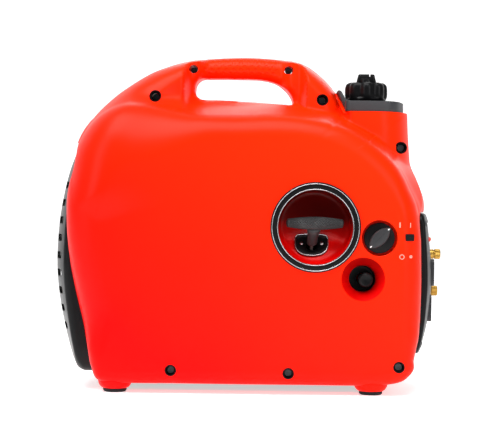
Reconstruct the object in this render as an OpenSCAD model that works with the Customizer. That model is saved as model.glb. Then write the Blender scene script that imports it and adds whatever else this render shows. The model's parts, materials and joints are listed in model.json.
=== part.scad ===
// Portable inverter generator: two moulded side covers joined on the middle plane, with the carrying
// handle in them, a four-stroke engine and alternator on a crank along X, a recoil starter on the left
// side, a control panel on the +X end and a louvred exhaust cover on the -X end.
// Millimetres. +Z up, +X towards the control panel, -Y towards the recoil starter side.
// The origin is on the ground under the middle of the overall box.

/* [Body] */
// Half of the width over the flat side faces
half_w = 142; // [140:1:146]
// Wall of the moulded covers
wall = 3; // [2.5:0.5:3.5]
// Half of the width of the narrow top that carries the handle
neck_w = 80; // [76:1:82]
// Half of the thickness of the carrying handle
grip_w = 21; // [19:1:23]
// Height of the flat top of the covers under the filler deck
deck_z = 352; // [350:1:354]

/* [Engine] */
// Height of the crankshaft above the ground
crank_z = 155; // [154:0.5:156]
// Radius of the cylinder bore
bore_r = 24.4; // [23:0.1:25]
// Number of cooling fins on the cylinder
fins = 7; // [5:1:8]
// Number of blades on the cooling fan
blades = 12; // [8:1:16]

/* [Controls] */
// Radius of the recoil starter's round recess
bowl_r = 45.5; // [44:0.5:46]
// Radius of the engine switch knob
knob_r = 18.9; // [17:0.1:20]
// Radius of the fuel cap
cap_r = 27.5; // [26:0.5:29]
// Length of the recoil starter's grip
pull_len = 71; // [64:1:74]
// Outer radius of the brass terminals
terminal_r = 6.3; // [5:0.1:7]

/* [Hidden] */

red = "orangered";
black = "#202022";
grey = "#3a3b3d";
steel = "silver";
alloy = "#b9bcbf";
gap = 0.3;                  // play between moulded pieces that only meet

// ---- outlines in the X-Z plane ----

// Points along one span of a Catmull-Rom curve
function span(a, b, c, d, n) = [for (i = [0 : n - 1]) let (t = i / n)
    0.5 * (2 * b + (c - a) * t + (2 * a - 5 * b + 4 * c - d) * t * t
        + (3 * b - a - 3 * c + d) * t * t * t)];
// Smooth open curve through the points p, n pieces to a span
function curve(p, n = 3) = let (m = len(p) - 1) concat(
    [for (i = [0 : m - 1]) each span(p[max(i - 1, 0)], p[i], p[i + 1], p[min(i + 2, m)], n)],
    [p[m]]);
// Unit vector
function unit(v) = v / norm(v);
// Arc of radius r that rounds the corner b between a and c
function round_corner(a, b, c, r, n = 6) = let (
    u = unit(a - b), v = unit(c - b), half = acos(u * v) / 2,
    o = b + unit(u + v) * r / sin(half), p = b + u * r / tan(half) - o, q = b + v * r / tan(half) - o,
    s = atan2(p[1], p[0]), w = atan2(q[1], q[0]) - s, turn = w > 180 ? w - 360 : w < -180 ? w + 360 : w)
    [for (i = [0 : n]) o + r * [cos(s + turn * i / n), sin(s + turn * i / n)]];
// Closed outline with a radius at each corner, from [x, y, radius]
function rounded(p, n = 6) = let (m = len(p)) [for (i = [0 : m - 1]) let (
    a = p[(i + m - 1) % m], b = p[i], c = p[(i + 1) % m])
    each (b[2] > 0 ? round_corner([a[0], a[1]], [b[0], b[1]], [c[0], c[1]], b[2], n) : [[b[0], b[1]]])];
// Rectangle from low to high with round corners
function round_box(lo, hi, r, n = 6) =
    rounded([[lo[0], lo[1], r], [hi[0], lo[1], r], [hi[0], hi[1], r], [lo[0], hi[1], r]], n);

// Full-width lower body, from the rear foot over the arch to the front foot
belly_line = concat(
    curve([[-184, 14], [-196, 76], [-214, 137], [-222, 195], [-221, 250], [-203, 288], [-150, 309],
        [-70, 326], [15, 333], [90, 325], [152, 304], [195, 270], [214, 236], [220, 190], [219, 130],
        [210, 68], [194, 34], [165, 16]], 2),
    [[120, 13], [0, 12], [-120, 12.5]]);
// Narrow top with the carrying handle, down to where it is inside the lower body
neck_line = concat(
    curve([[-222, 215], [-220, 258], [-212, 306], [-195, 344], [-165, 377], [-125, 403], [-75, 418.5],
        [-20, 424], [35, 422], [68, 415.5], [92, 398], [107, 376], [119, 349]], 2),
    [[119, 255]]);
// Tank housing under the filler deck
housing_line = [[62, 252], [62, deck_z], [199.5, deck_z], [206, 280], [207, 252]];
// Opening for the fingers under the handle
grip_line = rounded([[-72, 395.5, 13], [16, 396.5, 40], [47, 384, 24], [55, 359.5, 5], [-72, 366.8, 13]]);

// Where the controls sit on the side face, as [x, z]
recoil_at = [80, 205.5];
knob_at = [158.3, 193.5];
choke_at = [139, 143];
choke_rod_at = [142.5, 142];
filler_at = [148.7, 0];
// Screws through the handle and neck, as [x, z, depth of the recess floor, depth of the boss's outer end]
neck_screws = [[-74.2, 405.5, 14, 18], [46.9, 406, 14, 18], [-121, 368, 44, 65], [89.7, 366.4, 40, 65],
    [190.4, 307.4, 44, 64.5]];
// Screws along the bottom edge, as [x, z]
base_screws = [[-94.6, 29], [49, 27], [184, 36]];
foot_x = [-164, 151.5];
foot_y = 112;
foot_r = 21;

// Recoil starter geometry in the Y-Z plane
rope_r = 2;
pull_dir = [0, -cos(35), sin(35)];
guide_at = [76.4, -109.35, 180];
reel_r = -(guide_at[1] * pull_dir[2] - (guide_at[2] - crank_z) * pull_dir[1]);
tangent_run = (-guide_at[1]) * cos(35) + (guide_at[2] - crank_z) * sin(35);

// ---- shared solids ----

// Outline p in the X-Z plane, from y = a to y = b
module slab(p, a, b) rotate([90, 0, 0]) translate([0, 0, -b]) linear_extrude(b - a) polygon(p);
// Outline p in the Y-Z plane, from x = a to x = b
module plate(p, a, b) translate([a, 0, 0]) rotate([90, 0, 90]) linear_extrude(b - a) polygon(p);
// Cylinder along Y from y = a to y = b
module rod_y(x, z, r, a, b, f = 48) translate([x, a, z]) rotate([-90, 0, 0]) cylinder(r = r, h = b - a, $fn = f);
// Cylinder along X from x = a to x = b
module rod_x(y, z, r, a, b, f = 48) translate([a, y, z]) rotate([0, 90, 0]) cylinder(r = r, h = b - a, $fn = f);
// Tube along X about the crank
module crank_ring(r_out, r_in, a, b) difference() {
    rod_x(0, crank_z, r_out, a, b);
    rod_x(0, crank_z, r_in, a - 1, b + 1);
}

// Outline p drawn in towards the point c by the fractions k along X and Z
function drawn_in(p, c, k) = [for (q = p) [c[0] + (q[0] - c[0]) * (1 - k[0]), c[1] + (q[1] - c[1]) * (1 - k[1])]];
// Solid from outline p through rings [y, fraction along X, fraction along Z], from the middle outwards
module loft(p, c, rings) {
    n = len(p);
    m = len(rings);
    points = [for (r = rings) each [for (q = drawn_in(p, c, [r[1], r[2]])) [q[0], r[0], q[1]]]];
    sides = [for (i = [0 : m - 2], j = [0 : n - 1]) let (a = i * n + j, b = i * n + (j + 1) % n)
        each [[a, b, b + n], [a, b + n, a + n]]];
    polyhedron(points, concat([[for (j = [n - 1 : -1 : 0]) j]], sides, [[for (j = [0 : n - 1]) (m - 1) * n + j]]));
}
// Solid half of the whole body on the -Y side, drawn in by t all round; the middle end is at y = m
module half_body(t, m) {
    bx = t / 218;
    bz = t / 160;
    loft(belly_line, [-5, 165], [[m, bx, bz], [-98, bx, bz], [-123 + t * 0.5, 0.02 + bx, 0.027 + bz],
        [-136 + t * 0.8, 0.055 + bx, 0.075 + bz], [-half_w + t, 0.11 + bx, 0.13 + bz]]);
    nx = t / 200;
    nz = t / 170;
    loft(neck_line, [0, 240], [[m, nx, nz], [-14, nx, nz], [-38 + t * 0.4, 0.02 + nx, 0.025 + nz],
        [-62 + t * 0.7, 0.075 + nx, 0.085 + nz], [-neck_w + t, 0.19 + nx, 0.22 + nz]]);
    loft(housing_line, [62, 252], [[m, t / 145, t / 100], [-48, t / 145, t / 100],
        [-66 + t * 0.6, 0.04 + t / 145, 0.005 + t / 100], [-76 + t, 0.16 + t / 145, 0.03 + t / 100]]);
}

// Moulded cover on the -Y side, before its own openings
module half_cover() {
    for (x = foot_x) translate([x, -foot_y, 0]) foot_boss();
    half_cover_shell();
}
module half_cover_shell() difference() {
    union() {
        difference() {
            half_body(0, -gap / 2);
            difference() {
                half_body(wall, 5);
                // the handle and its roots stay thick round the finger opening
                slab(round_box([-95, 348], [76, 440], 16), -grip_w - 64, 6);
            }
        }
        for (s = neck_screws) rod_y(s[0], s[1], 8, -s[3], -gap / 2);
        for (s = base_screws) rod_y(s[0], s[1], 7, -128, -112);
    }
    // scoops that leave the handle at its own thickness
    slab(round_box([-88, 352], [68, 400], 12), -neck_w - 10, -grip_w - 12);
    slab(round_box([-66, 384], [40, 440], 6), -neck_w - 10, -grip_w);
    slab(grip_line, -neck_w - 10, 10);
    for (s = neck_screws) {
        rod_y(s[0], s[1], 5, -half_w, -s[2]);
        rod_y(s[0], s[1], 2.4, -half_w, 5);
    }
    for (s = base_screws) {
        rod_y(s[0], s[1], 5, -half_w - 5, -126);
        rod_y(s[0], s[1], 2.4, -half_w, -100);
    }
    // ends, underside and the middle plane
    plate(round_box([-99, 21], [99, 308], 30), -260, -190);
    plate(round_box([-99, 48], [99, 226], 14), 198, 260);
    translate([-182, -87, 0]) cube([344.4, 100, 22]);
    slab(round_box([-60, 401], [28, 415], 5), -grip_w + wall, 6);
    translate([filler_at[0], 0, 340]) cylinder(r = 22.4, h = 20, $fn = 64);
}
// Boss under a corner of the cover, hollow for the rubber foot
module foot_boss() difference() {
    rotate_extrude($fn = 48) polygon(concat([[0, 4.5]], curve([[14, 4.5], [19, 7], [foot_r, 12]]), [[foot_r, 26], [16, 34], [0, 34]]));
    translate([0, 0, -1]) cylinder(r = 16.5, h = 9, $fn = 48);
}

// ---- covers ----

module side_cover_recoil() color(red) difference() {
    union() {
        half_cover();
        rod_y(knob_at[0], knob_at[1], 24, -half_w + 1, -124);
        rod_y(choke_at[0], choke_at[1], 28, -half_w + 1, -116);
    }
    rod_y(recoil_at[0], recoil_at[1], bowl_r + 3.5, -half_w - 5, -90);
    rod_y(knob_at[0], knob_at[1], 21.8, -half_w - 5, -127);
    rod_y(knob_at[0], knob_at[1], 5.06, -130, -120);
    translate([choke_at[0], -half_w - 0.01, choke_at[1]]) rotate([-90, 0, 0]) cylinder(r1 = 26, r2 = 18.8, h = 21, $fn = 48);
    rod_y(choke_at[0], choke_at[1] + 2, 15, -125, -110);
}

module_open = round_box([-75, 62], [62, 214], 18);
module side_cover_service() color(red) difference() {
    mirror([0, 1, 0]) half_cover();
    slab(module_open, 100, half_w + 5);
}

latch_at = [-6.5, 197];
module maintenance_cover() color(red) difference() {
    union() {
        slab(round_box([-83, 54], [70, 222], 24), half_w + gap, half_w + 3.5);
        slab(round_box([-74.4, 62.6], [61.4, 213.4], 17.4), half_w - 6, half_w + 1);
    }
    slab(round_box([-71, 66], [58, 210], 14), half_w - 7, half_w + 0.8);
    rod_y(latch_at[0], latch_at[1], 6.2, half_w - 10, half_w + 10);
}
module maintenance_latch() color(black) difference() {
    union() {
        rod_y(latch_at[0], latch_at[1], 9, half_w + 3.5 + 0.1, half_w + 5.5);
        rod_y(latch_at[0], latch_at[1], 6, half_w - 9, half_w + 4.5);
        translate([latch_at[0] - 3, half_w - 13, latch_at[1] - 2]) cube([22, 4, 4]);
    }
    translate([latch_at[0] - 7, half_w + 4, latch_at[1] - 1]) cube([14, 3, 2]);
}

module base_pan() color(black) difference() {
    union() {
        translate([-181.5, -86.6, 13]) cube([343.4, 173.2, 3]);
        for (s = base_screws, m = [0, 1]) mirror([0, m, 0]) difference() {
            intersection() {
                slab(round_box([s[0] - (s[0] > 160 ? 9 : 24), 15.5], [s[0] + (s[0] > 160 ? 4.5 : 6), s[1] + 7], 3, 3), -111.5, -80);
                slab(drawn_in(belly_line, [-5, 165], [0.034, 0.042]), -112, -79);
            }
            translate([s[0] - 25, -112, 0]) cube([35, 25.2, 18.2]);
        }
        // webs that join the lugs to the pan
        for (y = [-86.4, 76.4]) {
            for (i = [0, 1]) translate([base_screws[i][0] - 22, y, 14]) cube([20, 10, 10]);
            translate([140, y, 14]) cube([20, 10, 24]);
            translate([140, y, 32]) cube([39, 10, 6]);
        }
        for (x = [-88, -14], y = [-38, 38]) translate([x, y, 15]) cylinder(r = 13, h = 8, $fn = 48);
    }
    for (s = base_screws) rod_y(s[0], s[1], 2.5, -120, 120);
    for (x = [-140 : 20 : 100]) translate([x, 52, 10]) cube([10, 24, 10]);
}

module rubber_feet() color("#151515") for (x = foot_x, y = [-foot_y, foot_y]) translate([x, y, 0])
    rotate_extrude($fn = 48) polygon(concat([[0, 0]], curve([[12, 0], [15, 1.4], [16.3, 4.5]]), [[16.3, 7.9], [0, 7.9]]));

// Cross-recessed pan screw along +Y, head at the origin
module screw(len, head_r = 4.2) rotate([-90, 0, 0]) difference() {
    union() {
        translate([0, 0, -3]) cylinder(r = head_r, h = 3, $fn = 32);
        translate([0, 0, -0.5]) cylinder(r = 2.3, h = len, $fn = 24);
    }
    translate([-2, -0.5, -4]) cube([4, 1, 2.5]);
    translate([-0.5, -2, -4]) cube([1, 4, 2.5]);
}
module cover_screws() color("#2b2b2d") {
    for (s = neck_screws) translate([s[0], -s[2], s[1]]) screw(s[2] + 10);
    for (s = base_screws) translate([s[0], -126, s[1]]) screw(18);
    for (s = base_screws) translate([s[0], 126, s[1]]) mirror([0, 1, 0]) screw(18);
}

// ---- exhaust end ----

exhaust_line = concat(
    curve([[-198, 14], [-215, 23], [-225, 40], [-235, 74], [-243, 113], [-247, 150], [-246.5, 185],
        [-243, 222], [-234, 265], [-222, 297], [-212, 306]]),
    [[-192, 306], [-192, 150]]);
module exhaust_dome(t) loft(exhaust_line, [-192, 150], [[98.4 - t, 0.36 + t / 55, 0.03 + t / 145],
    [66, 0.09 + t / 55, 0.01 + t / 145], [24, t / 55, t / 145], [-24, t / 55, t / 145],
    [-66, 0.09 + t / 55, 0.01 + t / 145], [-98.4 + t, 0.36 + t / 55, 0.03 + t / 145]]);
module exhaust_end_cover() color(black) difference() {
    intersection() {
        exhaust_dome(0);
        plate(round_box([-98.4, 21.6], [98.4, 305], 29), -260, -193);
    }
    difference() {
        translate([6, 0, 0]) exhaust_dome(wall);
        rod_x(0, 126, 27, -252, -190);
    }
    for (i = [0 : 8], m = [-1, 1]) translate([-260, m * 57 - 24, 74 + i * 22]) cube([70, 48, 9]);
    rod_x(0, 126, 20, -260, -190);
}
module tail_pipe() color("#5b5754") difference() {
    union() {
        rod_x(0, 126, 15, -242, -192.3);
        rod_x(0, 126, 18, -214, -212);
    }
    rod_x(0, 126, 12.5, -250, -205);
}
module muffler() color("#8d8a86") {
    difference() {
        slab(round_box([-192, 62], [-122, 240], 26), -72, 72);
        for (i = [0 : 5]) slab(round_box([-186 + i * 11, 50], [-183 + i * 11, 250], 1, 2), -80, -70.5);
    }
    rod_x(18, 279, 9, -140, -88.3);
    translate([-140, 18, 236]) cylinder(r = 9, h = 43, $fn = 48);
    translate([-140, 18, 279]) sphere(r = 9, $fn = 32);
}

// ---- engine ----

module crankcase() color(alloy) difference() {
    union() {
        rod_x(0, crank_z, 52, -98, -5);
        translate([-98, -44, 96]) cube([93, 88, 60]);
        translate([-92, -38, 150]) cube([80, 76, 57]);
        for (x = [-88, -14], y = [-38, 38]) translate([x, y, 36]) cylinder(r = 9, h = 70, $fn = 32);
        translate([-50, 30, 118]) rotate([-90, 0, 0]) cylinder(r = 14, h = 32, $fn = 48);
    }
    rod_x(0, crank_z, 38, -85, -18);
    rod_x(0, crank_z, 17.05, -96.1, -80);
    rod_x(0, crank_z, 17.05, -20, -6.9);
    rod_x(0, crank_z, 14, -110, 5);
    translate([-50, 0, crank_z]) cylinder(r = 29.5, h = 60, $fn = 48);
    translate([-50, 40, 118]) rotate([-90, 0, 0]) cylinder(r = 8, h = 30, $fn = 48);
}
module main_bearings() color(steel) for (x = [-96, -17]) crank_ring(17, 10, x, x + 10);
module engine_cylinder() color(alloy) difference() {
    union() {
        translate([-50, 0, 190]) cylinder(r = 29, h = 76, $fn = 48);
        translate([-84, -34, 207.1]) cube([68, 68, 4]);
        for (i = [0 : fins - 1]) translate([-88, -38, 210 + i * 52 / (fins - 1)]) cube([76, 76, 2.2]);
    }
    translate([-50, 0, 170]) cylinder(r = bore_r, h = 120, $fn = 48);
}
module cylinder_head() color(alloy) difference() {
    union() {
        translate([-84, -34, 266]) cube([68, 68, 27]);
        for (i = [0 : 3]) translate([-88, -38, 269 + i * 6]) cube([76, 76, 2.2]);
    }
    translate([-50, 0, 260]) cylinder(r = 20, h = 10, $fn = 48);
    rod_y(-50, 281, 6, 20, 60);
    rod_x(18, 279, 7, -95, -60);
}
module rocker_cover() color(black) difference() {
    translate([0, 0, 293]) linear_extrude(14) polygon(round_box([-80, -30], [-20, 30], 8));
    translate([0, 0, 290]) linear_extrude(14) polygon(round_box([-77, -27], [-23, 27], 6));
}
module spark_plug() color("ivory") union() {
    rod_y(-50, 281, 5.9, 22, 38);
    rod_y(-50, 281, 9, 38.2, 46, 6);
    rod_y(-50, 281, 5, 45, 68);
    rod_y(-50, 281, 2.6, 67, 76);
}
module crankshaft() color(steel) union() {
    rod_x(0, crank_z, 9.95, -99, -61);
    rod_x(0, crank_z, 9.95, -39, 62);
    for (x = [-72, -38]) rod_x(0, crank_z, 32, x, x + 10);
    rod_x(0, crank_z + 19, 9, -63, -37);
}
module piston() color(alloy) difference() {
    translate([-50, 0, 232]) cylinder(r = bore_r - 0.1, h = 32, $fn = 48);
    translate([-50, 0, 231]) cylinder(r = bore_r - 4, h = 26, $fn = 48);
    for (z = [250, 254, 258]) translate([-50, 0, z + 2]) difference() {
        cylinder(r = bore_r + 1, h = 1.5, $fn = 48);
        translate([0, 0, -1]) cylinder(r = bore_r - 1.4, h = 4, $fn = 48);
    }
    rod_x(0, 242, 6, -80, -20);
}
module flywheel() color("#6f7276") difference() {
    union() {
        rod_x(0, crank_z, 66, 2, 36);
        rod_x(0, crank_z, 18, 30, 41);
    }
    rod_x(0, crank_z, 57, 0, 30);
    rod_x(0, crank_z, 9.95, 0, 50);
}
module stator() color("peru") difference() {
    union() {
        crank_ring(30, 20, -4.9, 26);
        for (i = [0 : 11]) translate([15, 0, crank_z]) rotate([i * 30, 0, 0]) {
            translate([-11, -3.5, 25]) cube([22, 7, 26]);
            translate([-9, -6, 31]) cube([18, 12, 16]);
        }
        crank_ring(55.5, 50, 8, 22);
    }
    rod_x(0, crank_z, 20, -6, 30);
}
module cooling_fan() color("#26282b") union() {
    crank_ring(66, 34, 36.2, 38.5);
    for (i = [0 : blades - 1]) translate([0, 0, crank_z]) rotate([i * 360 / blades, 0, 0])
        translate([38, -1.2, 36]) rotate([12, 0, 0]) cube([17, 2.4, 28]);
}
module starter_cup() color(steel) difference() {
    rod_x(0, crank_z, 31, 41.2, 62);
    rod_x(0, crank_z, 28.5, 43.5, 70);
    rod_x(0, crank_z, 9.95, 30, 50);
    for (a = [0, 120, 240]) translate([52, 0, crank_z]) rotate([a, 0, 0]) translate([-4, -7, 20]) cube([8, 14, 20]);
}
module fan_shroud() color(black) difference() {
    union() {
        rod_x(0, crank_z, 82, -3, 66);
        for (a = [40, 160, 280]) translate([0, 0, crank_z]) rotate([a, 0, 0]) translate([52, 0, 82]) rod_x(0, 0, 7, 0, 13.5);
    }
    rod_x(0, crank_z, 79, -5, 63);
    rod_x(0, crank_z, 50, 60, 70);
}

// ---- recoil starter ----

module starter_housing() color(black) difference() {
    union() {
        rod_x(0, crank_z, 60, 66.2, 99);
        for (a = [40, 160, 280]) translate([66.2, 0, crank_z]) rotate([a, 0, 0]) translate([0, -7, 50]) cube([5, 14, 37]);
    }
    difference() {
        rod_x(0, crank_z, 57, 60, 96);
        rod_x(0, crank_z, 6.95, 68, 97);
    }
    for (a = [0 : 45 : 315]) translate([90, 0, crank_z]) rotate([a, 0, 0]) translate([0, -5, 30]) cube([20, 10, 18]);
    // slot where the rope leaves
    translate(guide_at) rotate([-35, 0, 0]) translate([-5, 20, -8]) cube([10, 50, 16]);
}
module starter_reel() color("#d8d4c8") difference() {
    union() {
        rod_x(0, crank_z, reel_r - rope_r - 0.2, guide_at[0] - 6.5, guide_at[0] + 6.5);
        rod_x(0, crank_z, reel_r + 7, guide_at[0] - 6.5, guide_at[0] - 4);
        rod_x(0, crank_z, reel_r + 7, guide_at[0] + 4, guide_at[0] + 6.5);
    }
    rod_x(0, crank_z, 7, 60, 90);
}
// Rope as it lies wound in the groove, one layer, ending where the run leaves
module rope_coil() color("#1b1b1b") translate([guide_at[0], 0, crank_z]) rotate([0, 90, 0])
    rotate_extrude($fn = 64) translate([reel_r, 0]) circle(r = rope_r - 0.1, $fn = 24);
// Straight rope from the reel through the guide to the grip
module rope_run() color("#1b1b1b") translate(guide_at) rotate([90 - 35, 0, 0])
    translate([0, 0, -tangent_run + 30]) cylinder(r = rope_r, h = tangent_run - 30 + 9, $fn = 24);
// Flat spiral spring that winds the rope back
module recoil_spring() color("#4a4a4d") {
    turns = 3.5;
    step = 7;
    translate([88, 0, crank_z]) rotate([90, 0, 90]) linear_extrude(7) polygon(concat(
        [for (a = [0 : 15 : 360 * turns]) (14 + step * a / 360) * [cos(a), sin(a)]],
        [for (a = [360 * turns : -15 : 0]) (15.2 + step * a / 360) * [cos(a), sin(a)]]));
}
grip_at = [79.7, -130, 210.5];
module recoil_grip() color(black) {
    difference() {
        union() {
            translate(grip_at) rotate([0, 90, 0]) rotate_extrude($fn = 48) polygon(concat([[0, -pull_len / 2]],
                curve([[4.6, -pull_len / 2 + 0.2], [5.6, -pull_len / 2 + 3], [7.4, -pull_len / 4], [8.3, 0],
                    [7.4, pull_len / 4], [5.6, pull_len / 2 - 3], [4.6, pull_len / 2 - 0.2]], 2), [[0, pull_len / 2]]));
            hull() {
                translate([grip_at[0] - 1, grip_at[1], grip_at[2] - 5]) rotate([38, 0, 0]) cylinder(r = 4.4, h = 2, center = true, $fn = 32);
                translate(guide_at + pull_dir * 7) rotate([38, 0, 0]) cylinder(r = 5.2, h = 2, center = true, $fn = 32);
            }
        }
        translate(guide_at) rotate([90 - 35, 0, 0]) cylinder(r = rope_r + 0.05, h = 9.4, $fn = 24);
    }
}
// Tilted floor of the bowl: deep at the top and shallow at the bottom
floor_tilt = -24;
module bowl_floor(depth) translate([recoil_at[0], depth, recoil_at[1]]) rotate([floor_tilt, 0, 0])
    translate([-70, 0, -80]) cube([140, 60, 160]);
module recoil_bowl() color("firebrick") difference() {
    rod_y(recoil_at[0], recoil_at[1], bowl_r + 3.2, -half_w + 3.3, -70);
    difference() {
        rod_y(recoil_at[0], recoil_at[1], bowl_r, -half_w - 5, -60);
        bowl_floor(-98);
    }
    bowl_floor(-95);
    // seat and passage for the rope guide
    translate(guide_at) rotate([floor_tilt, 0, 0]) rod_y(0, 0, 8.2, -20, 20);
}
module rope_guide() color(black) difference() {
    union() {
        translate(guide_at) rotate([floor_tilt, 0, 0]) translate([0, -0.1, 5])
            slab(rounded([[-21, 13, 4], [21, 13, 4], [21, -17, 19], [-21, -17, 19]]), -3, 0);
        translate(guide_at) rotate([floor_tilt, 0, 0]) rod_y(0, 0, 8, -2.3, 9);
    }
    translate(guide_at) rotate([90 - 35, 0, 0]) cylinder(r = rope_r + 0.8, h = 60, center = true, $fn = 32);
    hull() {
        translate(guide_at) rotate([38, 0, 0]) cylinder(r = 6, h = 1.5, center = true, $fn = 24);
        translate(guide_at + [0, -26, 30]) rotate([38, 0, 0]) cylinder(r = 8, h = 4, center = true, $fn = 24);
    }
}
module recoil_bezel() color(black) translate([recoil_at[0], -half_w, recoil_at[1]]) rotate([90, 0, 0])
    rotate_extrude($fn = 64) polygon([[bowl_r, -3], [bowl_r + 3.3, -3], [bowl_r + 3.3, 0.1], [bowl_r + 9.6, 0.1],
        [bowl_r + 9.6, 0.8], [bowl_r + 8.8, 1.5], [bowl_r + 0.8, 1.5], [bowl_r, 0.8]]);

// ---- intake, fuel and controls on the side ----

module carburetor() color(alloy) difference() {
    union() {
        translate([-72, 40, 212]) cube([44, 6, 44]);
        rod_y(-50, 234, 13, 44, 87);
        translate([-66, 52, 218]) cube([32, 26, 26]);
        translate([-50, 65, 196]) cylinder(r = 12, h = 24, $fn = 48);
    }
    rod_y(-50, 234, 8, 38, 90);
}
module air_cleaner_case() color(black) difference() {
    slab(round_box([-92, 190], [-8, 262], 8), 87.2, 127);
    slab(round_box([-89.5, 192.5], [-10.5, 259.5], 6), 90, 124.5);
    rod_y(-50, 234, 8, 80, 95);
}
module choke_knob() color("#1a1a1a") difference() {
    union() {
        rod_y(choke_rod_at[0], choke_rod_at[1], 9, -130, -121);
        rod_y(choke_rod_at[0], choke_rod_at[1], 6, -121.2, -116);
    }
    rod_y(choke_rod_at[0], choke_rod_at[1], 2.5, -124, -110);
}
module choke_rod() color(steel) rod_y(choke_rod_at[0], choke_rod_at[1], 2.5, -124, -80);
module switch_knob() color("#222326") translate([knob_at[0], 0, knob_at[1]]) {
    rod_y(0, 0, knob_r, -136, -127.6);
    rotate([0, -45, 0]) slab(rounded([[-17.5, -2.6, 1.5], [0, -6.5, 8], [17.5, -2.6, 1.5], [17.5, 2.6, 1.5], [0, 6.5, 8], [-17.5, 2.6, 1.5]], 3), -142, -135.9);
    rod_y(0, 0, 5, -128, -104);
}
module fuel_valve() color(alloy) difference() {
    union() {
        rod_y(knob_at[0], knob_at[1], 17, -120, -98);
        rod_y(knob_at[0] - 10, knob_at[1], 4, -110, -84.3);
    }
    rod_y(knob_at[0], knob_at[1], 5.06, -125, -103);
}
// Hose that the covers hold all the way, from the valve round to the carburettor, as points on its line
hose_route = [[148.3, -84, 193.5], [148, -60, 205], [130, -20, 232], [100, 20, 238], [40, 78, 238], [-8, 79, 225], [-25, 74, 212], [-37.4, 67, 207]];
hose_r = 3.5;
function along(p, i) = unit(p[min(i + 1, len(p) - 1)] - p[max(i - 1, 0)]);
module fuel_hose() color("#141414") {
    p = curve(hose_route, 5);
    m = len(p);
    k = 8;
    up = [0, 0, 1];
    pts = [for (i = [0 : m - 1]) let (d = along(p, i), s = unit(cross(d, up)), t = cross(s, d))
        for (j = [0 : k - 1]) p[i] + hose_r * (cos(j * 45) * s + sin(j * 45) * t)];
    polyhedron(pts, concat([[for (j = [0 : k - 1]) j]], [[for (j = [k - 1 : -1 : 0]) (m - 1) * k + j]],
        [for (i = [0 : m - 2], j = [0 : k - 1]) each [
            [i * k + j, i * k + k + j, i * k + (j + 1) % k], [i * k + (j + 1) % k, i * k + k + j, i * k + k + (j + 1) % k]]]));
}

tank_line = rounded([[2, 244, 12], [188, 244, 8], [190, 258, 10], [172, 278, 20], [120, 302, 30], [60, 316, 30], [2, 318, 10]], 4);
module fuel_tank() color("#2a2a2c") difference() {
    union() {
        slab(tank_line, -92, 92);
        translate([0, 0, 290]) linear_extrude(50) polygon(round_box([100, -60], [176, 60], 14));
    }
    difference() {
        slab([for (p = tank_line) [95, 281] + (p - [95, 281]) * 0.96], -89.5, 89.5);
        rod_y(recoil_at[0], recoil_at[1], bowl_r + 6.7, -100, -66);
    }
    // room for the back of the recoil bowl
    rod_y(recoil_at[0], recoil_at[1], bowl_r + 4.2, -100, -68.5);
    translate([0, 0, 285]) linear_extrude(52.5) polygon(round_box([102.5, -57.5], [173.5, 57.5], 12));
    translate([filler_at[0], 0, 330]) cylinder(r = 18, h = 60, $fn = 64);
}
module filler_neck() color("#2a2a2c") translate([filler_at[0], 0, 340 + gap]) difference() {
    cylinder(r = 21, h = 28.3, $fn = 64);
    translate([0, 0, -1]) cylinder(r = 18, h = 30, $fn = 64);
}
module filler_deck() color(grey) difference() {
    union() {
        translate([0, 0, deck_z + gap]) linear_extrude(13) polygon(rounded([[118, -74, 6], [170, -74, 20], [195, -46, 40], [197, 0, 60],
            [195, 46, 40], [170, 74, 20], [118, 74, 6]]));
        // riser that leans on the root of the handle
        slab([[119.6, deck_z + gap], [127, deck_z + gap], [127, 365], [119, 368], [112.5, 379.5], [108, 379.5]], -56, 56);
    }
    translate([0, 0, deck_z - 1]) linear_extrude(11) polygon(rounded([[128, -68, 4], [168, -68, 18], [190, -42, 36], [192, 0, 58],
        [190, 42, 36], [168, 68, 18], [128, 68, 4]]));
    translate([filler_at[0], 0, 340]) cylinder(r = 21.6, h = 60, $fn = 64);
    slab([for (p = neck_line) p + [0.3, 0.3]], -80, 80);
}
module cap_shell() color(black) difference() {
    union() {
        translate([filler_at[0], 0, 369]) cylinder(r = cap_r - 2.6, h = 22, $fn = 64);
        for (a = [0 : 45 : 315]) translate([filler_at[0], 0, 371]) rotate(a) translate([cap_r - 8, 0, 0]) cylinder(r = 8, h = 21, $fn = 32);
        translate([filler_at[0], 0, 390]) cylinder(r = cap_r - 4, h = 3.5, $fn = 64);
    }
    translate([filler_at[0], 0, 360]) cylinder(r = 21.8, h = 27, $fn = 64);
    translate([filler_at[0], 0, 380]) cylinder(r = 4.06, h = 20, $fn = 32);
}
module cap_insert() color("#39393b") {
    translate([filler_at[0], 0, 369.1]) cylinder(r = 21.72, h = 17.6, $fn = 64);
    translate([filler_at[0], 0, 356]) cylinder(r = 17.7, h = 15, $fn = 64);
}
module vent_lever() color(black) difference() {
    union() {
        translate([filler_at[0], 0, 393.7]) cylinder(r = 9, h = 5, $fn = 48);
        translate([filler_at[0], 0, 387.4]) cylinder(r = 4, h = 8, $fn = 32);
        translate([filler_at[0], 0, 393.7]) linear_extrude(11) polygon(rounded([[-12.8, -4.5, 3], [13, -4.5, 3], [13, 4.5, 3], [-12.8, 4.5, 3]]));
    }
    translate([filler_at[0] + 4.5, -10, 401]) cube([1, 20, 5]);
}

// ---- electrics and the control panel ----

module inverter_module() color(alloy) union() {
    translate([110, -85, 46]) cube([80, 170, 46]);
    for (y = [-83 : 8 : 83]) translate([112, y - 1, 90]) cube([76, 2.5, 20]);
    for (x = [120, 152], y = [-66, 66]) translate([x, y, 16.1]) cylinder(r = 6, h = 32, $fn = 32);
}
// Curved line of the panel's outer face on the middle plane, from top to bottom
panel_curve = curve([[224, 225.5], [228.5, 213], [231.5, 190], [234, 165], [235, 135], [231, 100], [224, 70], [213, 49]], 2);
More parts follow.
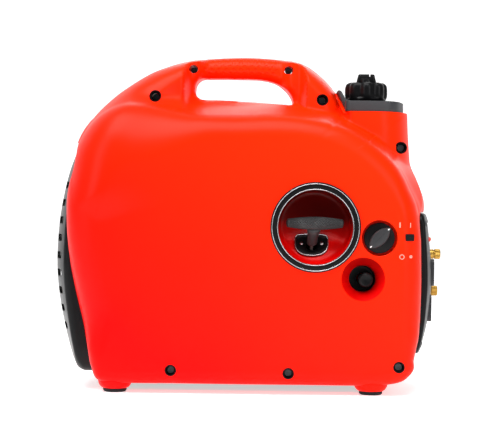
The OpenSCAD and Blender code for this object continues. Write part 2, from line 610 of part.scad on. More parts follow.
// How far the face falls back towards the sides, as a fraction of its bulge
panel_fall = [[0, 0], [24, 0], [66, 0.14], [98.6, 0.36]];
function panel_line(d) = concat([[190, 49], [190, 225.5]], [for (p = panel_curve) p - [d, 0]]);
module panel_dome(d) loft(panel_line(d), [196, 135], [for (y = [98.6, 66, 24, -24, -66, -98.6]) [y, lookup(abs(y), panel_fall), 0]]);
// Outer face x of the panel frame at height z, distance y from the middle
function face_x(z, y = 0) = 196 + (lookup(z, [for (i = [len(panel_curve) - 1 : -1 : 0]) [panel_curve[i][1], panel_curve[i][0]]]) - 196)
    * (1 - lookup(abs(y), panel_fall));
module panel_frame() color(black) difference() {
    intersection() {
        panel_dome(0);
        plate(round_box([-98.3, 49.3], [98.3, 225.2], 13.6), 198.5, 240);
    }
    intersection() {
        panel_dome(4);
        plate(round_box([-94.3, 53.3], [94.3, 221.2], 9.6), 180, 240);
    }
    plate(round_box([-86, 60], [86, 213], 8), 190, 240);
    for (y = [-90, 90], z = [61, 212]) {
        rod_x(y, z, 2.4, 190, 240);
        rod_x(y, z, 4, face_x(z, y) - 2.4, 240);
    }
}
module panel_face() color(grey) difference() {
    intersection() {
        panel_dome(0.8);
        plate(round_box([-85.7, 60.3], [85.7, 212.7], 7.7), 198.5, 240);
    }
    panel_dome(4);
    for (z = socket_z) plate(round_box([socket_y - 17.2, z - 17.2], [socket_y + 17.2, z + 17.2], 6), 200, 240);
    rod_x(dc_at[0], dc_at[1], 15.2, 200, 240);
    for (z = terminal_z) rod_x(terminal_y, z, terminal_r + 0.2, 200, 240);
    plate(round_box([eco_at[0] - 7.2, eco_at[1] - 10.7], [eco_at[0] + 7.2, eco_at[1] + 10.7], 1.5), 200, 240);
    rod_x(breaker_at[0], breaker_at[1], 6.7, 200, 240);
    for (y = usb_y) plate(round_box([y - 8.2, usb_z - 4.7], [y + 8.2, usb_z + 4.7], 1), 200, 240);
    for (y = lamp_y) rod_x(y, lamp_z, 3.1, 200, 240);
}
socket_y = -46;
socket_z = [105, 150];
dc_at = [52, 92];
terminal_y = -6;
terminal_z = [125, 172.5];
eco_at = [52, 190];
breaker_at = [52, 122];
usb_y = [40, 62];
usb_z = 150;
lamp_y = [-66, -52, -38];
lamp_z = 192;

module ac_sockets() color("#18181a") for (z = socket_z) {
    x = face_x(z, socket_y);
    difference() {
        plate(round_box([socket_y - 17, z - 17], [socket_y + 17, z + 17], 5.8), 205, x + 1.5);
        for (y = [-6.3, 6.3]) translate([x - 13, socket_y + y - 1, z - 1]) cube([20, 2.2, 8.5]);
        rod_x(socket_y, z - 8.5, 2.6, x - 13, x + 5, 24);
    }
}
module dc_socket() color("#18181a") difference() {
    rod_x(dc_at[0], dc_at[1], 15, 198, face_x(92, 52) + 2);
    rod_x(dc_at[0], dc_at[1], 10.6, 204, face_x(92, 52) + 5);
}
module usb_ports() color("#18181a") for (y = usb_y) difference() {
    plate(round_box([y - 8, usb_z - 4.5], [y + 8, usb_z + 4.5], 0.8), 212, face_x(usb_z, y) + 0.6);
    plate(round_box([y - 6.4, usb_z - 2.7], [y + 6.4, usb_z + 2.7], 0.4), 216, 240);
}
module brass_terminals() color("goldenrod") for (i = [0, 1]) {
    z = terminal_z[i];
    end = [243.6, 247][i];
    difference() {
        union() {
            rod_x(terminal_y, z, terminal_r, 214, end);
            rod_x(terminal_y, z, terminal_r + 2.2, 218, face_x(z) - 4.8, 6);
        }
        rod_x(terminal_y, z, 2, end - 14, end + 1, 32);
    }
}
module eco_switch() color("#101012") union() {
    x = face_x(190, 52);
    translate([x, eco_at[0], eco_at[1]]) rotate([0, 8, 0]) translate([-6, -6.5, -9.4]) cube([8, 13, 18.8]);
    rod_y(x - 4, eco_at[1], 2, eco_at[0] - 7, eco_at[0] + 7, 24);
}
module dc_breaker() color("firebrick") union() {
    x = face_x(122, 52);
    rod_x(breaker_at[0], breaker_at[1], 5, x - 8, x + 4);
    rod_x(breaker_at[0], breaker_at[1], 6.2, x - 9, x - 6.5);
}
module indicator_lamps() color("limegreen") for (y = lamp_y) {
    x = face_x(lamp_z, y);
    translate([x, y, lamp_z]) rotate([0, 90, 0]) rotate_extrude($fn = 32) polygon([[0, -9], [3, -9], [3, 0], [2.6, 1], [1.6, 1.8], [0, 2.1]]);
}
module panel_screws() color("#2b2b2d") for (y = [-90, 90], z = [61, 212]) translate([face_x(z, y) - 2.3, y, z])
    rotate([0, 0, 90]) screw(12, 3.6);

module oil_filler_cap() color("#e0a91b") translate([-50, 0, 118]) {
    rod_y(0, 0, 12, 62.4, 74);
    rod_y(0, 0, 7.9, 44, 63);
    translate([-2.5, 73, -11]) cube([5, 9, 22]);
}
module engine_mounts() color("#161616") for (x = [-88, -14], y = [-38, 38]) translate([x, y, 23]) cylinder(r = 11, h = 13, $fn = 32);

side_cover_recoil();
side_cover_service();
base_pan();
rubber_feet();
cover_screws();
exhaust_end_cover();
muffler();
tail_pipe();
crankcase();
engine_cylinder();
cylinder_head();
rocker_cover();
spark_plug();
crankshaft();
main_bearings();
piston();
flywheel();
stator();
cooling_fan();
starter_cup();
fan_shroud();
starter_housing();
starter_reel();
rope_coil();
rope_run();
recoil_spring();
recoil_grip();
rope_guide();
recoil_bowl();
recoil_bezel();
carburetor();
air_cleaner_case();
choke_knob();
choke_rod();
inverter_module();
panel_frame();
panel_face();
ac_sockets();
dc_socket();
usb_ports();
brass_terminals();
eco_switch();
dc_breaker();
indicator_lamps();
panel_screws();
maintenance_cover();
maintenance_latch();
oil_filler_cap();
engine_mounts();
switch_knob();
fuel_valve();
fuel_tank();
filler_neck();
fuel_hose();
cap_shell();
cap_insert();
vent_lever();
filler_deck();
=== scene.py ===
import json
import math

import bmesh
import bpy
import numpy as np
from mathutils import Matrix


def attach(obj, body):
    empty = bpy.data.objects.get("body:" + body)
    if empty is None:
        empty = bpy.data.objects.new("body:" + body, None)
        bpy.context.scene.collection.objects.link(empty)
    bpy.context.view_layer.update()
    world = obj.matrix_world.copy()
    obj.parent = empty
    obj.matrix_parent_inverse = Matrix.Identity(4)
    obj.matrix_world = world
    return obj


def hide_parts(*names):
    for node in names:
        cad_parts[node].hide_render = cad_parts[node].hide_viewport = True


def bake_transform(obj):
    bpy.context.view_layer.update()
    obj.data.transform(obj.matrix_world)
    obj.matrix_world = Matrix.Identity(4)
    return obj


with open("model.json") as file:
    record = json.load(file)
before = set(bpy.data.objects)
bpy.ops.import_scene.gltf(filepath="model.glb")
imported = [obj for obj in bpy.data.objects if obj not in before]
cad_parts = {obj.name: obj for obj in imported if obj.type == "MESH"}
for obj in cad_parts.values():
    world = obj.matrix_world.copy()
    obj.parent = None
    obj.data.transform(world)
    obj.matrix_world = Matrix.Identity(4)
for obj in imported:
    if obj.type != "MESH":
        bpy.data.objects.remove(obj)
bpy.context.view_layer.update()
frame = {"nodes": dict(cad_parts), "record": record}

# ---- Studio ----
# A white floor that sweeps up into a backdrop, soft boxes above and at both sides, and a long lens
# level with the middle of the generator, looking at the starter side.
MM = 0.001


def weld(name, points, faces, flat_over=40.0):
    """A mesh piece from points in millimetres: doubles merged, faces turned outwards, edges sharper
    than flat_over degrees left sharp."""
    mesh = bpy.data.meshes.new(name)
    mesh.from_pydata((np.asarray(points, float).reshape(-1, 3) * MM).tolist(), [],
        [list(map(int, f)) for f in faces])
    bm = bmesh.new()
    bm.from_mesh(mesh)
    bmesh.ops.remove_doubles(bm, verts=bm.verts, dist=2e-6)
    bmesh.ops.dissolve_degenerate(bm, edges=bm.edges, dist=1e-7)
    bmesh.ops.recalc_face_normals(bm, faces=bm.faces)
    bm.to_mesh(mesh)
    bm.free()
    mesh.polygons.foreach_set("use_smooth", np.ones(len(mesh.polygons), bool))
    mesh.set_sharp_from_angle(angle=math.radians(flat_over))
    piece = bpy.data.objects.new(name, mesh)
    bpy.context.scene.collection.objects.link(piece)
    return piece


def quads(rows, cols, wrap=True):
    """Faces of a grid of rows by cols points, whose columns close on themselves if wrap."""
    i, j = np.meshgrid(np.arange(rows - 1), np.arange(cols if wrap else cols - 1), indexing="ij")
    k = (j + 1) % cols
    return np.stack([i * cols + j, i * cols + k, (i + 1) * cols + k, (i + 1) * cols + j], -1).reshape(-1, 4)


s = np.linspace(0, 1, 60)
sweep_y = np.concatenate([np.linspace(-4200, 2200, 20), 2200 + 1500 * np.sin(s * math.pi / 2),
    np.full(10, 3700.0)])
sweep_z = np.concatenate([np.zeros(20), 1500 * (1 - np.cos(s * math.pi / 2)), np.linspace(1600, 5200, 10)])
sweep = np.stack([np.repeat([[-6000.0], [6000.0]], len(sweep_y), 1).T, np.repeat(sweep_y[:, None], 2, 1),
    np.repeat(sweep_z[:, None], 2, 1)], -1)
floor = weld("studio_sweep", sweep, quads(len(sweep_y), 2, False)[:, ::-1])
paper = bpy.data.materials.new("studio_paper")
paper.use_nodes = True
paper.node_tree.nodes["Principled BSDF"].inputs["Base Color"].default_value = (0.96, 0.96, 0.96, 1)
paper.node_tree.nodes["Principled BSDF"].inputs["Roughness"].default_value = 0.9
paper.node_tree.nodes["Principled BSDF"].inputs["Emission Color"].default_value = (1, 1, 1, 1)
paper.node_tree.nodes["Principled BSDF"].inputs["Emission Strength"].default_value = 0.56
floor.data.materials.append(paper)

world = bpy.data.worlds.new("studio_air")
world.use_nodes = True
world.node_tree.nodes["Background"].inputs["Color"].default_value = (1, 1, 1, 1)
world.node_tree.nodes["Background"].inputs["Strength"].default_value = 0.24
bpy.context.scene.world = world
bpy.context.scene.view_settings.view_transform = "Standard"

for name, place, aim, size, power in (("top_box", (-0.25, -0.55, 1.5), (0.0, 0.0, 0.2), (1.6, 0.9), 34),
        ("right_box", (1.25, -1.6, 0.9), (0.05, 0.0, 0.2), (0.9, 1.2), 12),
        ("left_box", (-1.5, -0.9, 0.9), (0.0, 0.0, 0.25), (0.6, 1.2), 9),
        ("back_box", (0.3, 1.6, 1.1), (0.0, 0.0, 0.2), (1.4, 1.0), 9)):
    lamp = bpy.data.lights.new(name, "AREA")
    lamp.shape, lamp.size, lamp.size_y, lamp.energy = "RECTANGLE", size[0], size[1], power
    light = bpy.data.objects.new(name, lamp)
    light.location = place
    away = np.array(place) - np.array(aim)
    flat = math.hypot(away[0], away[1])
    light.rotation_euler = (math.atan2(flat, away[2]), 0, math.atan2(away[1], away[0]) + math.pi / 2)
    bpy.context.scene.collection.objects.link(light)

lens = bpy.data.cameras.new("camera")
lens.sensor_width = 36.0
lens.lens = 36.0 * 2.2 / 0.65
camera = bpy.data.objects.new("camera", lens)
camera.location = (0.0, -2.2, 0.2147)
camera.rotation_euler = (math.radians(90), math.radians(-0.75), 0)
bpy.context.scene.collection.objects.link(camera)
bpy.context.scene.camera = camera

# ---- Side covers ----
# Two injection-moulded halves in orange-red polypropylene, 3 mm thick, that meet on the middle plane.
# Each is a wide drum with a rounded shoulder, a narrower neck that carries the handle, and the tank housing.


class Val:
    """A number that varies over a surface: one socket, with the operators that add Math nodes."""

    def __init__(self, tree, socket):
        self.tree, self.socket = tree, socket

    def _math(self, op, *values):
        return self.tree.node("ShaderNodeMath", {"operation": op}, *values)

    def __add__(self, other): return self._math("ADD", self, other)
    def __radd__(self, other): return self._math("ADD", other, self)
    def __sub__(self, other): return self._math("SUBTRACT", self, other)
    def __rsub__(self, other): return self._math("SUBTRACT", other, self)
    def __mul__(self, other): return self._math("MULTIPLY", self, other)
    def __rmul__(self, other): return self._math("MULTIPLY", other, self)
    def __pow__(self, other): return self._math("POWER", self, other)
    def op(self, name): return self._math(name, self)


class Finish:
    """A material's node tree: node() adds any node, mix() blends two colours, seal() joins the shader."""

    def __init__(self, name, **constants):
        self.material = bpy.data.materials.new(name)
        self.material.use_nodes = True
        self.tree = self.material.node_tree
        self.shader = self.tree.nodes["Principled BSDF"]
        for key, value in constants.items():
            self.shader.inputs[key.replace("_", " ")].default_value = value

    def node(self, kind, settings, *values, out=0):
        made = self.tree.nodes.new(kind)
        for key, value in settings.items():
            if key == "stops":
                for k, (at, colour) in enumerate(value):
                    stop = made.color_ramp.elements[k] if k < 2 else made.color_ramp.elements.new(at)
                    stop.position, stop.color = at, colour
            else:
                setattr(made, key, value)
        pairs = values[0].items() if values and isinstance(values[0], dict) else enumerate(values)
        for key, value in pairs:
            if isinstance(value, Val):
                self.tree.links.new(value.socket, made.inputs[key])
            elif value is not None:
                made.inputs[key].default_value = value
        return Val(self, made.outputs[out])

    def place(self, scale=1.0):
        """Object coordinates in metres, times scale."""
        at = self.node("ShaderNodeTexCoord", {}, out=3)
        return self.node("ShaderNodeVectorMath", {"operation": "SCALE"}, {0: at, 3: scale})

    def noise(self, scale, detail=2.0, rough=0.5, at=None):
        """Noise from 0 to 1 with scale waves to the metre."""
        return self.node("ShaderNodeTexNoise", {}, {"Vector": at or self.place(), "Scale": scale,
            "Detail": detail, "Roughness": rough})

    def ramp(self, value, low, high):
        """0 below low, 1 above high, straight between."""
        return self.node("ShaderNodeMapRange", {"clamp": True}, {0: value, 1: low, 2: high, 3: 0.0, 4: 1.0})

    def mix(self, amount, a, b):
        return self.node("ShaderNodeMix", {"data_type": "RGBA"}, {0: amount, 6: a, 7: b}, out=2)

    def bump(self, height, depth, strength=1.0):
        """Bump from a height of 0 to 1 that stands for depth metres."""
        self.seal(Normal=self.node("ShaderNodeBump", {}, {"Strength": strength, "Distance": depth,
            "Height": height}))

    def seal(self, **links):
        for key, value in links.items():
            self.tree.links.new(value.socket, self.shader.inputs[key.replace("_", " ")])


def moulded(name, colour, dark, rough, grain, depth, specular=0.3):
    """Moulded plastic: slow change of tone, a fine pebble grain with a given size and depth, small scuffs."""
    f = Finish(name, Specular_IOR_Level=specular)
    tone = f.ramp(f.noise(9.0, 3.0), 0.3, 0.7)
    f.seal(Base_Color=f.mix(tone, (*dark, 1), (*colour, 1)))
    pebble = f.noise(1.0 / grain, 3.0, 0.6)
    scuffs = f.ramp(f.noise(45.0, 6.0, 0.7), 0.62, 0.75)
    f.seal(Roughness=(pebble - 0.5) * 0.1 + rough + scuffs * 0.06)
    f.bump(pebble, depth)
    return f.material


def red_cover(name):
    """Orange-red cover plastic with painted light in its colour: pure red low on the exhaust side as painted
    shade, orange at the top and the panel side as painted light, with a little random tone. The top of the
    handle has rows of three-sided pits 1 mm deep, 9.3 mm apart."""
    f = Finish(name, Specular_IOR_Level=0.08)
    part = f.node("ShaderNodeSeparateXYZ", {}, f.place())
    z = Val(f, part.socket.node.outputs[2])
    # Painted light: the colour is lighter and more orange towards the top and the panel side, and deeper red
    # low on the exhaust side where shade falls; the noise adds a little real random tone.
    painted_light_drift = f.ramp(part * 1.1 + z * 1.6 + (f.noise(6.0, 3.0) - 0.5) * 0.12, -0.05, 0.62)
    f.seal(Base_Color=f.mix(painted_light_drift, (0.80, 0.0001, 0.0001, 1), (0.90, 0.0215, 0.0002, 1)))
    row = (z * 222.0).op("FLOOR")
    across = (part * 107.5 + row * 0.5).op("FRACT") - 0.5
    up = (z * 222.0).op("FRACT") - 0.35
    pit = f.ramp((across.op("ABSOLUTE") * 2.1 + up.op("ABSOLUTE") * 0.9 + up * 0.6) * -1.0 + 0.62, 0.0, 0.22)
    zone = f.ramp(((part + 0.0145).op("ABSOLUTE")) * -1.0 + 0.0475, 0.0, 0.001) * f.ramp(z, 0.3995,
        0.4003) * f.ramp(z * -1.0, -0.4205, -0.4198)
    pebble = f.noise(900.0, 3.0, 0.6)
    f.seal(Roughness=(pebble - 0.5) * 0.1 + 0.35 + f.ramp(f.noise(45.0, 6.0, 0.7), 0.62, 0.75) * 0.06)
    f.bump(pebble * 0.03 - pit * zone, 0.001)
    return f.material


painted_light_red_plastic = red_cover("red_cover_painted_light_plastic")


def smooth_step(a, b, v):
    """0 at a and 1 at b, with level ends."""
    t = np.clip((v - a) / (b - a), 0, 1)
    return t * t * (3 - 2 * t)


def spline(knots, n, closed=True):
    """n points evenly spaced along the Catmull-Rom curve through the knots."""
    p = np.asarray(knots, float)
    m = len(p) if closed else len(p) - 1
    i = np.arange(m)
    if closed:
        a, b, c, d = p[i - 1], p[i], p[(i + 1) % m], p[(i + 2) % m]
    else:
        a, b, c, d = p[np.maximum(i - 1, 0)], p[i], p[i + 1], p[np.minimum(i + 2, m)]
    t = np.linspace(0, 1, 24, endpoint=False)[None, :, None]
    a, b, c, d = (v[:, None] for v in (a, b, c, d))
    q = (0.5 * (2 * b + (c - a) * t + (2 * a - 5 * b + 4 * c - d) * t**2 + (3 * b - a - 3 * c + d)
        * t**3)).reshape(-1, p.shape[1])
    q = np.vstack([q, q[:1] if closed else p[-1:]])
    run = np.concatenate([[0], np.cumsum(np.linalg.norm(np.diff(q, axis=0), axis=1))])
    at = np.linspace(0, run[-1], n, endpoint=not closed)
    return np.stack([np.interp(at, run, q[:, k]) for k in range(p.shape[1])], 1)


def inside(x, z, loop):
    """Distance from each point to a closed loop in millimetres, positive inside."""
    a, b = loop, np.roll(loop, -1, 0)
    e = b - a
    best = np.full(x.shape, 1e9)
    odd = np.zeros(x.shape, bool)
    for p, q, v in zip(a, b, e):
        t = np.clip(((x - p[0]) * v[0] + (z - p[1]) * v[1]) / (v @ v + 1e-12), 0, 1)
        best = np.minimum(best, np.hypot(x - p[0] - t * v[0], z - p[1] - t * v[1]))
        crossing = (p[1] > z) != (q[1] > z)
        odd ^= crossing & (x < p[0] + (z - p[1]) * v[0] / (v[1] if v[1] else 1e-12))
    return np.where(odd, best, -best)


def blend_over(a, b, k):
    """The larger of a and b, with the valley between them filled over a width k."""
    h = np.clip(k - np.abs(a - b), 0, None) / k
    return np.maximum(a, b) + h * h * k / 4


def quarter(d, reach, power):
    """A rounded edge: 0 at d = 0 and 1 from d = reach inwards, along a superellipse."""
    u = 1 - np.clip(d / reach, 0, 1)
    return (1 - u * u) ** (1 / power)


cover_line = [(-175, 12.6), (-187, 17), (-193, 32), (-197, 52), (-203, 77), (-212, 110), (-221, 150),
    (-226.5, 190), (-228, 225), (-227, 262), (-223.5, 290), (-216, 314.6), (-204.6, 335.5),
    (-187.8, 356.8), (-165.9, 377.8), (-135, 398.6), (-112, 409), (-85, 417), (-52, 421.8), (-10.5, 423.9),
    (20.7, 423), (45, 420.6), (62.3, 417), (74, 411.6), (84, 404.5), (94, 396), (104.4, 384.6),
    (110.5, 373), (116, 358)]
cover_line = np.vstack([spline(cover_line, 260, False), [(118.6, 352.02)],
    spline([(123, 352), (160, 352), (199.4, 352)], 34, False),
    spline([(200, 347), (201, 325), (203, 303), (206, 281), (211, 269), (216.2, 257), (220.6, 244),
    (222, 231), (219.5, 218), (218, 200), (218, 160), (218, 120), (217, 88), (214, 62), (209, 43),
    (200.5, 27.5), (188, 17.5), (168, 13.2)], 130, False),
    spline([(150, 12.4), (60, 12), (0, 12), (-90, 12), (-160, 12.3)], 90, False)])
drum_line = spline([(-175, 12.6), (-193, 32), (-203, 77), (-212, 110), (-221, 150), (-226.5, 190),
    (-228, 225), (-227, 262), (-222, 294), (-207, 324), (-184, 346), (-152, 357), (-110, 352), (-66, 344),
    (-21, 342.5), (30, 344.5), (66, 342.5), (98, 336.5), (120, 329), (142, 317.5), (160, 304.5),
    (176, 289), (190, 272), (203, 254), (213, 238), (217.5, 222), (218, 200), (218, 120), (217, 88),
    (214, 62), (200.5, 27.5), (168, 13.2), (60, 12), (-90, 12)], 360)
neck_line = np.vstack([spline([(-221, 225), (-223.5, 290), (-216, 314.6), (-204.6, 335.5), (-187.8, 356.8),
    (-165.9, 377.8), (-135, 398.6), (-112, 409), (-85, 417), (-52, 421.8), (-10.5, 423.9), (20.7, 423),
    (45, 420.6), (62.3, 417), (74, 411.6), (84, 404.5), (94, 396), (104.4, 384.6), (110.5, 373),
    (116.5, 358), (119.5, 352.6)], 220, False), [(160, 352), (160, 240), (-190, 200)]])
finger_line = spline([(-72.5, 381), (-71, 388.5), (-66, 394), (-55, 395.4), (0, 395.6), (16, 394.4),
    (31, 390.6), (44, 382.5), (51, 373.5), (53.6, 366), (52, 361.5), (47, 360.3), (39, 361.3), (0, 364.6),
    (-38, 366.3), (-61, 366.6), (-67, 368.6), (-71.6, 374)], 200)
face_y = 142.0


def cover_height(x, z):
    """How far the cover's skin stands out from the middle plane at (x, z), in millimetres: the drum with its
    shoulder, the lip behind the shoulder, the neck with its scoop and grip, and the tank housing, blended."""
    d = inside(x, z, drum_line)
    left, high = smooth_step(-40, -150, x), smooth_step(220, 300, z)
    reach = 15 + (15 + 14 * left) * smooth_step(16, 110, z) + 34 * left * high
    dome = 2.4 * (x / 200) ** 2 + 1.6 * ((z - 170) / 160) ** 2
    fillet = reach - np.sqrt(np.clip(reach**2 - (reach - np.clip(d, 0, reach)) ** 2, 0, None))
    drum = face_y - dome - fillet + 4 * np.minimum(d, 0)
    ledge = np.where(d > -8, 99 * quarter(d + 8, 5.5, 2.0), -50) - 60 * smooth_step(60, -20, x)
    n = inside(x, z, neck_line)
    neck_w = 62 + 46 * smooth_step(-80, -200, x)
    neck = np.where(n > 0, neck_w * quarter(n, 52 - 28 * smooth_step(-150, -80, x), 2.2), n * 4)
    side = np.maximum(np.abs(x + 8) - 66, 0)
    below = np.maximum(350 - z, 0)
    scoop = 36 + 70 * smooth_step(2, 26, np.hypot(side, below)) + 60 * smooth_step(352, 338, z)
    neck = np.minimum(neck, scoop)
    grip = smooth_step(62, 46, np.abs(x + 10)) * smooth_step(378, 392, z)
    round_grip = 20.5 * quarter(n, 15, 2.0)
    neck = neck * (1 - grip) + np.minimum(neck, round_grip) * grip
    rim = -inside(x, z, finger_line)
    neck = neck - 12 * (1 - quarter(rim, 11, 2.0)) * smooth_step(26, 8, rim)
    housing = 76 * quarter(203.5 + (352 - z) * 0.045 - x, 44, 2.0)
    housing = np.where(z > 230, housing, -50) - 150 * smooth_step(126, 84, x)
    h = blend_over(neck, housing, 6.0)
    h = blend_over(h, np.where(z > 225, ledge, -50), 5.0)
    return blend_over(h, drum, 9 + 70 * smooth_step(20, -130, x))


def cover_grid():
    """Points of the outer skin: the rim's own rings, then rings drawn in from the outline to the middle of
    the drum, close together at the edge and lifted to cover_height. The panel end bows in at its sides."""
    centre = np.array([0.0, 205.0])
    out = cover_line - centre
    length = np.linalg.norm(out, axis=1)
    near = 46 * np.linspace(0, 1, 36) ** 1.5
    far = np.arange(49, 132, 3.1)
    inset = np.concatenate([np.minimum(near[:, None], length * 0.24 + 0 * near[:, None]),
        far[:, None] * np.clip(length / 190, 0, 1)[None],
        132 + (length - 132) * np.linspace(0, 1, 18)[:, None] ** 0.9])
    inset = np.maximum.accumulate(np.minimum(inset, length * 0.9995), axis=0)
    xz = centre + out[None] * (1 - inset / length)[..., None]
    h = cover_height(xz[..., 0], xz[..., 1])
    h = np.maximum(h, 0.6)
    calm = (inside(xz[..., 0], xz[..., 1], finger_line) < -14) & (np.arange(len(h)) > 7)[:, None]
    soft = (np.roll(h, 1, 1) + np.roll(h, -1, 1) + np.vstack([h[:1], h[:-1]])
        + np.vstack([h[1:], h[-1:]]) + 2 * h) / 6
    h = np.where(calm, soft, h)
    rise = np.linspace(0, 1, 11)[:-1, None]
    rim = np.stack([np.repeat(xz[:1, :, 0], 10, 0), -(0.15 + (h[:1] - 0.15) * rise),
        np.repeat(xz[:1, :, 1], 10, 0)], -1)
    grid = np.concatenate([rim, np.stack([xz[..., 0], -h, xz[..., 1]], -1)])
    x, y, z = grid[..., 0], grid[..., 1], grid[..., 2]
    bow = np.interp(z, [28, 33, 43, 57, 90, 140, 190, 215, 228, 255, 285, 310],
        [0, 1, 6, 6.7, 6, 5.5, 6.5, 9, 10, 9, 6, 0])
    x -= bow * smooth_step(35, 104, -y) * smooth_step(172, 218, x)
    return grid


def shell(name, grid, wall, out=(0.0, -1.0, 0.0)):
    """A closed wall that faces out: the grid, the same grid moved in by wall along its normals, and the rim
    that joins them. Nothing goes back past the first row of the grid."""
    out = np.asarray(out)
    normal = np.cross(np.roll(grid, -1, 1) - np.roll(grid, 1, 1), np.gradient(grid, axis=0))
    normal /= np.linalg.norm(normal, axis=-1, keepdims=True) + 1e-9
    normal *= np.sign((normal @ out).mean())
    normal[0] -= (normal[0] @ out)[:, None] * out
    inner = grid - wall * normal
    base = (grid[0] @ out).min()
    inner += np.clip(base - inner @ out, 0, None)[..., None] * out
    rows, cols = grid.shape[:2]
    a = quads(rows, cols)
    rim = np.arange(cols)
    nxt = (rim + 1) % cols
    strip = np.stack([rim, rim + rows * cols, nxt + rows * cols, nxt], -1)
    caps = [list(range((rows - 1) * cols, rows * cols)), list(range((2 * rows - 1) * cols, 2 * rows
        * cols))[::-1]]
    faces = [*a[:, ::-1].tolist(), *(a + rows * cols).tolist(), *strip.tolist(), *caps]
    return weld(name, np.concatenate([grid.reshape(-1, 3), inner.reshape(-1, 3)]), faces)


def lathe_points(profile, centre, axis, n=72):
    """A profile of (radius, distance along the axis) carried round: radius times (cos, sin) at each angle."""
    profile = np.asarray(profile, float)
    angle = np.linspace(0, 2 * math.pi, n, endpoint=False)
    r, a = profile[:, :1], profile[:, 1:] + 0 * angle
    u, v = r * np.cos(angle), r * np.sin(angle)
    along = {"x": (a, u, v), "y": (u, a, v), "z": (u, v, a)}[axis]
    return np.stack(along, -1) + np.asarray(centre, float)


def lathe(name, profile, centre, axis="y", n=72, flat_over=35.0):
    grid = lathe_points(profile, centre, axis, n)
    return weld(name, grid, quads(len(grid), n), flat_over)


def round_box(y0, y1, z0, z1, r, n=10):
    """Outline of a rectangle with round corners, as one loop."""
    c = [(y1 - r, z0 + r, -90), (y1 - r, z1 - r, 0), (y0 + r, z1 - r, 90), (y0 + r, z0 + r, 180)]
    a = np.radians(np.linspace(0, 90, n))
    return np.vstack([np.stack([p + r * np.cos(a + math.radians(q)), o + r * np.sin(a + math.radians(q))],
        1) for p, o, q in c])


def prism(name, loop, lo, hi, axis):
    """A closed prism: the loop carried from lo to hi along an axis."""
    n = len(loop)
    ends = np.array([lo, hi], float)[:, None] + np.zeros(n)
    p, q = np.repeat(loop[None, :, 0], 2, 0), np.repeat(loop[None, :, 1], 2, 0)
    grid = np.stack({"x": (ends, p, q), "y": (p, ends, q), "z": (p, q, ends)}[axis], -1)
    return weld(name, grid, [*quads(2, n).tolist(), list(range(n)), list(range(2 * n - 1, n - 1, -1))])


def cut(piece, cutters):
    """Takes the cutters out of the piece and leaves its mesh final."""
    for c in cutters:
        step = piece.modifiers.new("cut", "BOOLEAN")
        step.object, step.operation, step.solver = c, "DIFFERENCE", "MANIFOLD"
    bpy.context.view_layer.update()
    done = bpy.data.meshes.new_from_object(piece.evaluated_get(bpy.context.evaluated_depsgraph_get()))
    piece.modifiers.clear()
    piece.data = done
    done.materials.clear()
    done.polygons.foreach_set("material_index", np.zeros(len(done.polygons), np.int32))
    done.polygons.foreach_set("use_smooth", np.ones(len(done.polygons), bool))
    done.set_sharp_from_angle(angle=math.radians(40))
    for c in cutters:
        bpy.data.objects.remove(c)


recoil_at, knob_at, choke_at = (80.0, 205.5), (158.3, 193.5), (139.0, 143.0)
neck_screws = ((-74.2, 405.5, 14.0), (46.9, 406.0, 14.0), (-121.0, 368.0, 44.0), (89.7, 366.4, 40.0),
    (190.4, 307.4, 44.0))
base_screws = ((-94.6, 29.0), (49.0, 27.0), (184.0, 36.0))


def mouth(x, z, r, depth, flare=1.4):
    """Cutter for a round recess from outside the face down to depth, with a rounded mouth."""
    top = float(cover_height(np.array([x]), np.array([z]))[0])
    a = np.linspace(0, math.pi / 2, 7)
    edge = [(r + flare * (1 - math.sin(t)), -(top - flare * (1 - math.cos(t)))) for t in a]
    edge = [(r + flare, -(top + 9.0)), (r + flare, -(top + 0.02)), *edge[1:]]
    return lathe("cutter", [(0, -(top + 9.0)), *edge, (r, -depth), (0, -depth)], (x, 0, z))


def cover_cutters():
    """Openings that both halves have: screw wells, the ends, the underside, the fingers and the filler."""
    wells = [mouth(x, z, 5.4 if depth < 20 else 7.4, 10.0, 0.8) for x, z, depth in neck_screws]
    wells += [mouth(x, z, 7.0, 110.0, 0.8) for x, z in base_screws]
    return wells + [
        prism("cutter", round_box(-99, 99, 48, 226, 14), 196, 260, "x"),
        prism("cutter", round_box(-99, 99, 21, 308, 30), -260, -188, "x"),
        prism("cutter", round_box(-182, 162.4, -10, 22, 2), -87, 10, "y"),
        prism("cutter", finger_line, -90, 10, "y"),
        lathe("cutter", [(0, 330), (22.4, 330), (22.4, 400), (0, 400)], (148.7, 0, 0), "z")]


skin = cover_grid()
recoil_cover = shell("cover_recoil_side", skin, 3.0)
cut(recoil_cover, cover_cutters() + [
    mouth(*recoil_at, 49.0, 60, 0.6), mouth(*knob_at, 21.8, 100, 1.2),
    lathe("cutter", [(0, -150), (27.5, -150), (27.2, -141.5), (26.4, -139.8), (16.5, -118), (16.5, -100),
    (0, -100)], (choke_at[0], 0, choke_at[1]))])
recoil_cover.data.materials.append(painted_light_red_plastic)
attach(recoil_cover, "housing")
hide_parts("side_cover_recoil")

service_cover = shell("cover_service_side", skin, 3.0)
cut(service_cover, cover_cutters() + [prism("cutter", round_box(-75, 62, 62, 214, 18), -160, -100, "y")])
service_cover.data.transform(Matrix.Diagonal((1, -1, 1, 1)))
service_cover.data.flip_normals()
service_cover.data.set_sharp_from_angle(angle=math.radians(40))
service_cover.data.materials.append(painted_light_red_plastic)
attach(service_cover, "housing")
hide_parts("side_cover_service")


def gather(name, grids, flat_over=35.0, wrap=True):
    """One mesh from several grids of points."""
    points, faces, base = [], [], 0
    for g in grids:
        points.append(g.reshape(-1, 3))
        faces.append(quads(*g.shape[:2], wrap) + base)
        base += len(points[-1])
    return weld(name, np.concatenate(points), np.concatenate(faces), flat_over)


